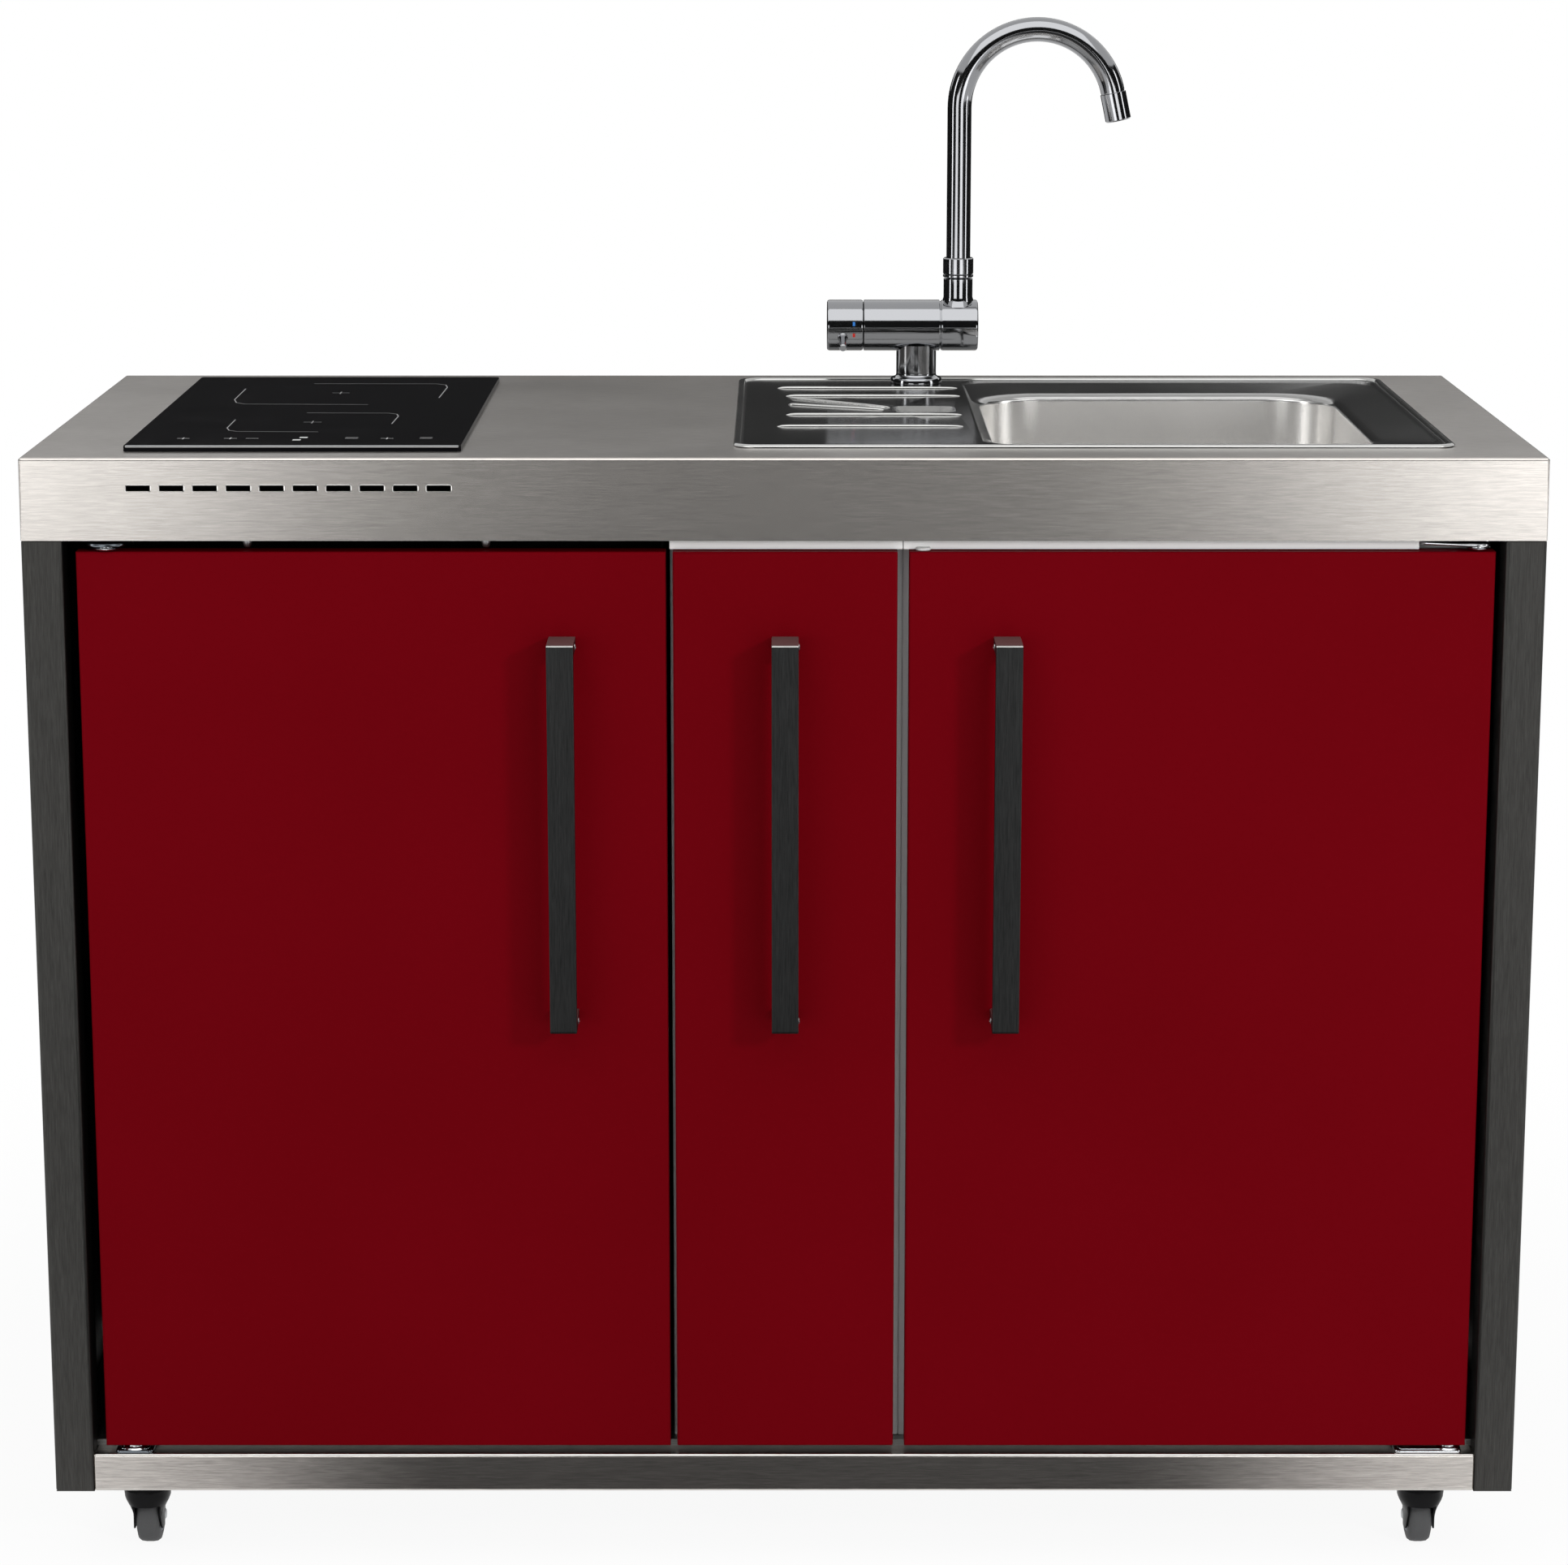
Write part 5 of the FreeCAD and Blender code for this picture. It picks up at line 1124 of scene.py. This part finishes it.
def buildSlotEdges(own):
    # burr around each vent slot of the fascia, in a steel brighter than the fascia's that paints the glint on the
    # edges
    long, tall = own.slotSize[0] / 2, own.slotSize[2] / 2
    bm = bmesh.new()
    loops = []
    for grow, y in own.burr:
        outline = roundedRect((-long - grow, -tall - grow), (long + grow, tall + grow), own.burrRadius + grow,
                              own.burrSteps)
        loops.append([bm.verts.new((x, y, z)) for x, z in outline])
    bridgeAll(bm, loops)
    turnOutward(bm)
    if sum(face.normal.y for face in bm.faces) > 0:
        bmesh.ops.reverse_faces(bm, faces=bm.faces)
    first = firstSlot(own)
    places = [(first.x + own.slotPitch * index, first.y, first.z) for index in range(own.slotCount)]
    addCopies("slotEdges", bm, places, "kitchen", "slotEdge")


buildLouvres(named(louvreSettings))
buildSlotEdges(named(worktopSettings))
print("louvres pressed")


# inside: shelf trims and ledges, a lamp, door racks, tray rails and mats, trap nuts and the sink door's inner pan
insideSettings = dict(
    matSteps=5, dotSides=8, nutSmooth=30, knurlEvery=3, panSteps=4,
    shelfThick=0.005, shelfBevel=0.0024,
    shelf=[("---", (0, -0.003, -0.002), "+--", (0, 0.009, 0.0075)),
           ("-+-", (0, -0.009, -0.0015), "++-", (0, 0, 0.0135)),
           ("---", (-0.0002, -0.012, -0.008), "-+-", (0.0078, 0, -0.0004)),
           ("+--", (-0.0078, -0.012, -0.008), "++-", (0.0002, 0, -0.0004))],  # trims, and ledges that carry the glass
    lampHalf=0.045, lampY=(0.05, 0.085), lampZ=(-0.006, 0.004), lampRadius=0.01, lampBevel=0.0012,
    rackBack=0.0139, rackInset=0.042, rackDepth=0.056, rackHeight=0.07, rackZ=(0.2, 0.5), rackBevel=0.0008,
    rack=[("---", (0, 0, 0), "++-", (0, 0, 0.0024)), ("-+-", (0, -0.0024, 0), "++-", (0, 0, 0.056)),
          ("---", (0, 0, 0), "-++", (0.0024, 0, 0)), ("+--", (-0.0024, 0, 0), "+++", (0, 0, 0))],
    lip=[("-+-", (0, -0.0039, 0.052), "++-", (0, 0.0012, 0.058))], lipBevel=0.0014,
    ribs=8, rib=[("-+-", (-0.001, -0.0006, 0.006), "-+-", (0.001, 0.0008, 0.049))], ribBevel=0.0005,
    trayDeep=0.09, railRise=0.03, railInset=0.001, railRadius=0.012, wire=0.0016, wireSides=10,
    legFoot=-0.012, legShares=(0.06, 0.35, 0.65, 0.94), matInset=(0.005, 0.006), matZ=(0.0021, 0.0036),
    matRadius=0.006, matBevel=0.0004, dot=[(0.0032, 0.0), (0.0026, 0.0008), (0, 0.0012)], dotSink=0.0002,
    dotInset=0.008, dotPitch=0.013,
    trapY=0.034, nutSides=72, knurl=0.0009, nutEase=(0.0015, 0.002), nutChamfer=0.003,
    nuts=[(1, -0.024, 0.0195, 0.0262, 0.02), (1, -0.098, 0.0195, 0.0305, 0.022), (0, 0.016, 0.03, 0.0336, 0.018)],
    panThick=0.0012, panSink=0.0002, panInset=0.02, panHinge=0.012, panRadius=0.004, panBevel=0.0005,
)


def buildFridgeInside(own):
    low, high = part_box("fridge_shelves")
    bm = bmesh.new()
    for z in (low.z, high.z - own.shelfThick):
        addBlocks(bm, ((*low.xy, z), (*high.xy, z)), own.shelf, own.shelfBevel, 3)
    addPiece("shelfTrims", bm, ["whitePlastic"], "kitchen")

    (linerLow, linerHigh), x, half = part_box("fridge_liner"), middleOf("fridge_liner").x, own.lampHalf
    near, far = (linerLow.y + y for y in own.lampY)
    bm = bmesh.new()
    addPlate(bm, roundedRect((x - half, near), (x + half, far), own.lampRadius), "z",
             linerHigh.z + own.lampZ[0], own.lampZ[1], own.lampBevel)
    addPiece("fridgeLamp", bm, ["lensPlastic"], "kitchen")

    low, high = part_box("fridge_door_liner")
    start, end, back = low.x + own.rackInset, high.x - own.rackInset, high.y - own.rackBack
    front = back + own.rackDepth
    bm = bmesh.new()
    for z in (low.z + level for level in own.rackZ):
        box = ((start, back, z), (end, front, z + own.rackHeight))
        addBlocks(bm, box, own.rack, own.rackBevel)
        addBlocks(bm, box, own.lip, own.lipBevel, 3)
        for index in range(1, own.ribs):  # slim ribs on the front
            x = start + (end - start) * index / own.ribs
            addBlocks(bm, ((x, back, z), (x, front, z)), own.rib, own.ribBevel, 1)
    addPiece("doorRacks", bm, ["rackPlastic"], "fridge_door_unit")


def buildPulloutInside(own):
    low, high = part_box("pullout_trays")
    wire, rise, inset, pitch = own.wire, own.railRise, own.railInset, own.dotPitch
    shift = Vector((inset, inset))
    for name, floor in (("lower", low.z), ("upper", high.z - own.trayDeep)):
        top = floor + own.trayDeep
        bm = bmesh.new()
        rail = roundedRect(low.xy + shift, high.xy - shift, own.railRadius)
        sweep(bm, [(x, y, top + rise) for x, y in rail], wire, zAxis, own.wireSides, True)
        leg = [(0, own.legFoot), (wire, own.legFoot), (wire, rise), (0, rise)]
        for x in (low.x + inset, high.x - inset):
            for share in own.legShares:
                lathe(bm, leg, (x, low.y + (high.y - low.y) * share, top), zAxis, own.wireSides)
        addPiece(name + "TrayRail", bm, ["chrome"], "pullout_unit")
        bm = bmesh.new()
        matInset, (foot, crest) = Vector(own.matInset), own.matZ
        matLow, matHigh = low.xy + matInset, high.xy - matInset
        addPlate(bm, roundedRect(matLow, matHigh, own.matRadius, own.matSteps), "z", floor + foot, crest - foot,
                 own.matBevel)
        addPiece(name + "TrayMat", bm, ["matRubber"], "pullout_unit")
        dot = bmesh.new()
        lathe(dot, own.dot, (0, 0, 0), zAxis, own.dotSides)
        edge, z = own.dotInset, floor + crest - own.dotSink
        columns, rows = (int((matHigh[index] - matLow[index] - edge) / pitch) for index in (0, 1))
        places = [(matLow.x + edge + pitch * (column + 0.5 * (row % 2)), matLow.y + edge + pitch * row, z)
                  for row in range(rows) for column in range(columns)]
        addCopies(name + "TrayGrip", dot, places, "pullout_unit", "matRubber")


def buildTrapNuts(own):
    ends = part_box("sink_trap")
    x, y = middleOf("sink_trap").x, ends[0].y + own.trapY
    bm = bmesh.new()
    for end, shift, inner, outer, tall in own.nuts:
        inset, rise = own.nutEase
        bands = [(inner, 0), (outer - inset, 0), (outer, rise), (outer, tall - own.nutChamfer),
                 (outer - own.nutChamfer, tall), (inner, tall)]
        rings = []
        for radius, height in bands:
            knurl = own.knurl if radius == outer else 0
            z, rim = ends[end].z + shift + height, []
            for index, turn in enumerate(circle(own.nutSides)):
                reach = radius - (0 if index % own.knurlEvery else knurl)
                rim.append(bm.verts.new((x + reach * math.cos(turn), y + reach * math.sin(turn), z)))
            rings.append(rim)
        bridgeAll(bm, rings)
    addPiece("trapNuts", bm, ["whitePlastic"], "kitchen", (), own.nutSmooth)


def buildDoorPan(own):
    low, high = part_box("sink_door")
    inset, sink = own.panInset, own.panSink
    bm = bmesh.new()
    outline = roundedRect((low.x + inset, low.z + inset), (high.x - inset - own.panHinge, high.z - inset),
                          own.panRadius, own.panSteps)
    addPlate(bm, outline, "y", high.y - sink, own.panThick + sink, own.panBevel)
    addPiece("sinkDoorPan", bm, ["whitePaint"], "sink_door_unit")


for build in (buildFridgeInside, buildPulloutInside, buildTrapNuts, buildDoorPan):
    build(named(insideSettings))
print("inside fitted")


# finishes and soft edges of the pieces kept as they come from the frame
finishes = {
    "railSteel": ["rail_front", "rail_rear"], "sideRailSteel": ["side_rails"],
    "postSteel": ["front_posts", "rear_posts"], "panelSteel": ["back_panel", "side_panels", "base_panel"],
    "redPaint": ["fridge_door", "pullout_front", "sink_door"], "whitePaint": ["pullout_cabinet", "sink_cabinet"],
    "blackPaint": ["fridge_cabinet", "hob_casing", "fridge_compressor"], "coilMetal": ["induction_coils"],
    "zincSteel": ["top_frame", "corner_gussets", "runner_tracks", "runner_slides", "pullout_frame", "pullout_trays",
                  "caster_plates"],
    "whitePlastic": ["fridge_liner", "fridge_door_liner", "sink_trap"], "sealRubber": ["fridge_door_gasket"],
    "shelfGlass": ["fridge_shelves"], "chrome": ["tap_shank"],
}
softWeld, softSegments, softAngle = 0.00001, 3, 50
softEdges = {  # width of the edge
    0.0011: ["fridge_door", "pullout_front", "sink_door"], 0.0012: ["pullout_cabinet", "sink_cabinet"],
    0.002: ["side_rails", "front_posts", "rear_posts", "fridge_door_gasket", "fridge_cabinet"],
    0.0024: ["rail_front", "rail_rear"], 0.003: ["fridge_door_liner"],
}
for look, names in finishes.items():
    for name in names:
        nodes[name].data.materials.clear()
        nodes[name].data.materials.append(looks[look])
for width, names in softEdges.items():
    for name in names:
        nodes[name].modifiers.new("weld", "WELD").merge_threshold = softWeld
        bevel = nodes[name].modifiers.new("softEdge", "BEVEL")
        bevel.width, bevel.segments = width, softSegments
        bevel.limit_method, bevel.angle_limit = "ANGLE", math.radians(softAngle)
print("finishes set")


# stage: pale floor, soft boxes, dark cards for the reflections and the photo's viewpoint
stageSettings = dict(
    floorRough=0.8, clothRough=0.9,
    floorSize=40.0, floorColour=(0.86, 0.86, 0.86), floorNear=0.7, floorFar=1.8, floorGlow=0.92,
    cameraY=-3.8975, cameraZ=1.487, pitch=78.0, lens=98.48, sensor=36.0, worldLight=0.55,
    clothColour=(0.014, 0.014, 0.014),
    cards={"wallCard": [(-7, -7.5, 0.3), (7, -7.5, 0.3), (7, -7.5, 5.0), (-7, -7.5, 5.0)],
           "backCard": [(-6.5, 4.5, 0.25), (6.5, 4.5, 0.25), (6.5, 4.5, 2.2), (-6.5, 4.5, 2.2)],
           "tallCard": [(-1.1, 4.5, 2.2), (1.1, 4.5, 2.2), (0.6, 4.5, 2.7), (-0.6, 4.5, 2.7)],
           "leftCard": [(-6.5, -7.5, 0.25), (-6.5, 4.5, 0.25), (-6.5, 4.5, 4.2), (-6.5, -7.5, 4.2)],
           "rightCard": [(6.5, -7.5, 0.25), (6.5, 4.5, 0.25), (6.5, 4.5, 4.2), (6.5, -7.5, 4.2)]},
    floorCard={"near": (-0.34, 0.62), "far": (-7.4, 2.5), "columns": 24, "dark": 0.04, "pale": 0.9, "start": 0.5,
               "lift": 0.002, "colour": (0.1, 0.1, 0.1), "rough": 0.9},
    lamps=[("overheadBox", (0.0, -1.5, 3.4), (0.0, -0.1, 0.8), 4.6, 3.2, 58),
           ("leftBox", (-2.2, -5.0, 0.8), (-0.4, 0, 0.8), 2.2, 1.5, 25),
           ("rightBox", (2.2, -5.0, 0.8), (0.4, 0, 0.8), 2.2, 1.5, 28),
           ("leftStrip", (-4.4, -1.6, 1.6), (0, 0, 0.9), 0.8, 2.6, 26),
           ("rightStrip", (4.4, -1.2, 1.6), (0, 0, 0.9), 0.8, 2.6, 22),
           ("keyLamp", (2.2, -3.2, 2.0), (0, -0.3, 0.5), 0.4, 0.4, 44)],
    shadowLamp="keyLamp",  # only draws the handles' shadows
)


def seenDirectly(tree):
    # one for rays from the camera or through a reflection or glass
    path = addNode(tree, "ShaderNodeLightPath").outputs
    first = addNode(tree, "ShaderNodeMath", {0: path["Is Camera Ray"], 1: path["Is Glossy Ray"]}, operation="MAXIMUM")
    return addNode(tree, "ShaderNodeMath", {0: first, 1: path["Is Transmission Ray"]}, operation="MAXIMUM")


def mixOut(tree, share, first, second, output):
    feed(tree, tree.nodes[output], {"Surface": addNode(tree, "ShaderNodeMixShader", {0: share, 1: first, 2: second})})


def floorMaterial(own):
    # keeps the shadow near the object and runs out to white further away
    material, tree, shader = newMaterial("paleFloor", own.floorColour, own.floorRough, **{"Specular IOR Level": 0.0})
    coords = addNode(tree, "ShaderNodeTexCoord")
    reach = addNode(tree, "ShaderNodeVectorMath", {0: coords.outputs["Object"]}, operation="LENGTH")
    fade = addNode(tree, "ShaderNodeMapRange", {
        "Value": reach.outputs["Value"], "From Min": own.floorNear, "From Max": own.floorFar,
        "To Min": own.floorGlow}, interpolation_type="SMOOTHSTEP")
    share = addNode(tree, "ShaderNodeMath", {0: seenDirectly(tree), 1: fade}, operation="MULTIPLY")
    mixOut(tree, share, shader, addNode(tree, "ShaderNodeEmission", {"Strength": 1.0}), "Material Output")
    return material


def flatMesh(name, points, faces, material):
    mesh = bpy.data.meshes.new(name)
    mesh.from_pydata(points, [], faces)
    mesh.materials.append(material)
    return mesh


def floorCardMesh(own):
    # card on the floor, dark in the middle and paler towards both sides
    count, dark, start = own.columns, own.dark, own.start
    points, shades = [], []
    for index in range(count + 1):
        across = 2 * index / count - 1
        grey = dark + (own.pale - dark) * eased((abs(across) - start) / (1 - start))
        for y, half in (own.far, own.near):
            points.append((across * half, y, own.lift))
            shades += [grey, grey, grey, 1]
    material, tree, shader = newMaterial("cardShade", own.colour, own.rough)
    feed(tree, shader, {"Base Color": addNode(tree, "ShaderNodeAttribute", attribute_name="shade")})
    faces = [(2 * index, 2 * index + 2, 2 * index + 3, 2 * index + 1) for index in range(count)]
    card = flatMesh("floorCard", points, faces, material)
    card.color_attributes.new("shade", "FLOAT_COLOR", "POINT").data.foreach_set("color", shades)
    return card


def buildStage(own):
    scene.view_settings.view_transform = "Standard"
    scene.world = bpy.data.worlds.new("studio")
    scene.world.use_nodes = True
    tree = scene.world.node_tree
    dim = tree.nodes["Background"]
    feed(tree, dim, {"Color": (1, 1, 1, 1), "Strength": own.worldLight})
    bright = addNode(tree, "ShaderNodeBackground", {"Color": (1, 1, 1, 1), "Strength": 1.0})
    mixOut(tree, seenDirectly(tree), dim, bright, "World Output")

    size, square = own.floorSize, [(0, 1, 2, 3)]
    corners = [(-size, -size, 0), (size, -size, 0), (size, size, 0), (-size, size, 0)]
    addObject("floor", flatMesh("floor", corners, square, floorMaterial(own)))
    cloth = newMaterial("cardCloth", own.clothColour, own.clothRough)[0]
    cards = [flatMesh(name, corners, square, cloth) for name, corners in own.cards.items()]
    for mesh in cards + [floorCardMesh(named(own.floorCard))]:  # only reflections see the cards
        card = addObject(mesh.name, mesh)
        card.visible_camera = card.visible_diffuse = card.visible_shadow = False

    for name, place, target, width, height, power in own.lamps:
        light = bpy.data.lights.new(name, "AREA")
        light.shape = "RECTANGLE"
        light.size, light.size_y, light.energy = width, height, power
        lamp = addObject(name, light)
        lamp.location = place
        lamp.rotation_euler = (Vector(target) - Vector(place)).to_track_quat("-Z", "Y").to_euler()
        lamp.visible_glossy = name != own.shadowLamp

    camera = bpy.data.cameras.new("photoCamera")
    camera.lens, camera.sensor_width = own.lens, own.sensor
    scene.camera = addObject("photoCamera", camera)
    scene.camera.location = (0.0, own.cameraY, own.cameraZ)
    scene.camera.rotation_euler = (math.radians(own.pitch), 0, 0)


buildStage(named(stageSettings))
print("stage lit")
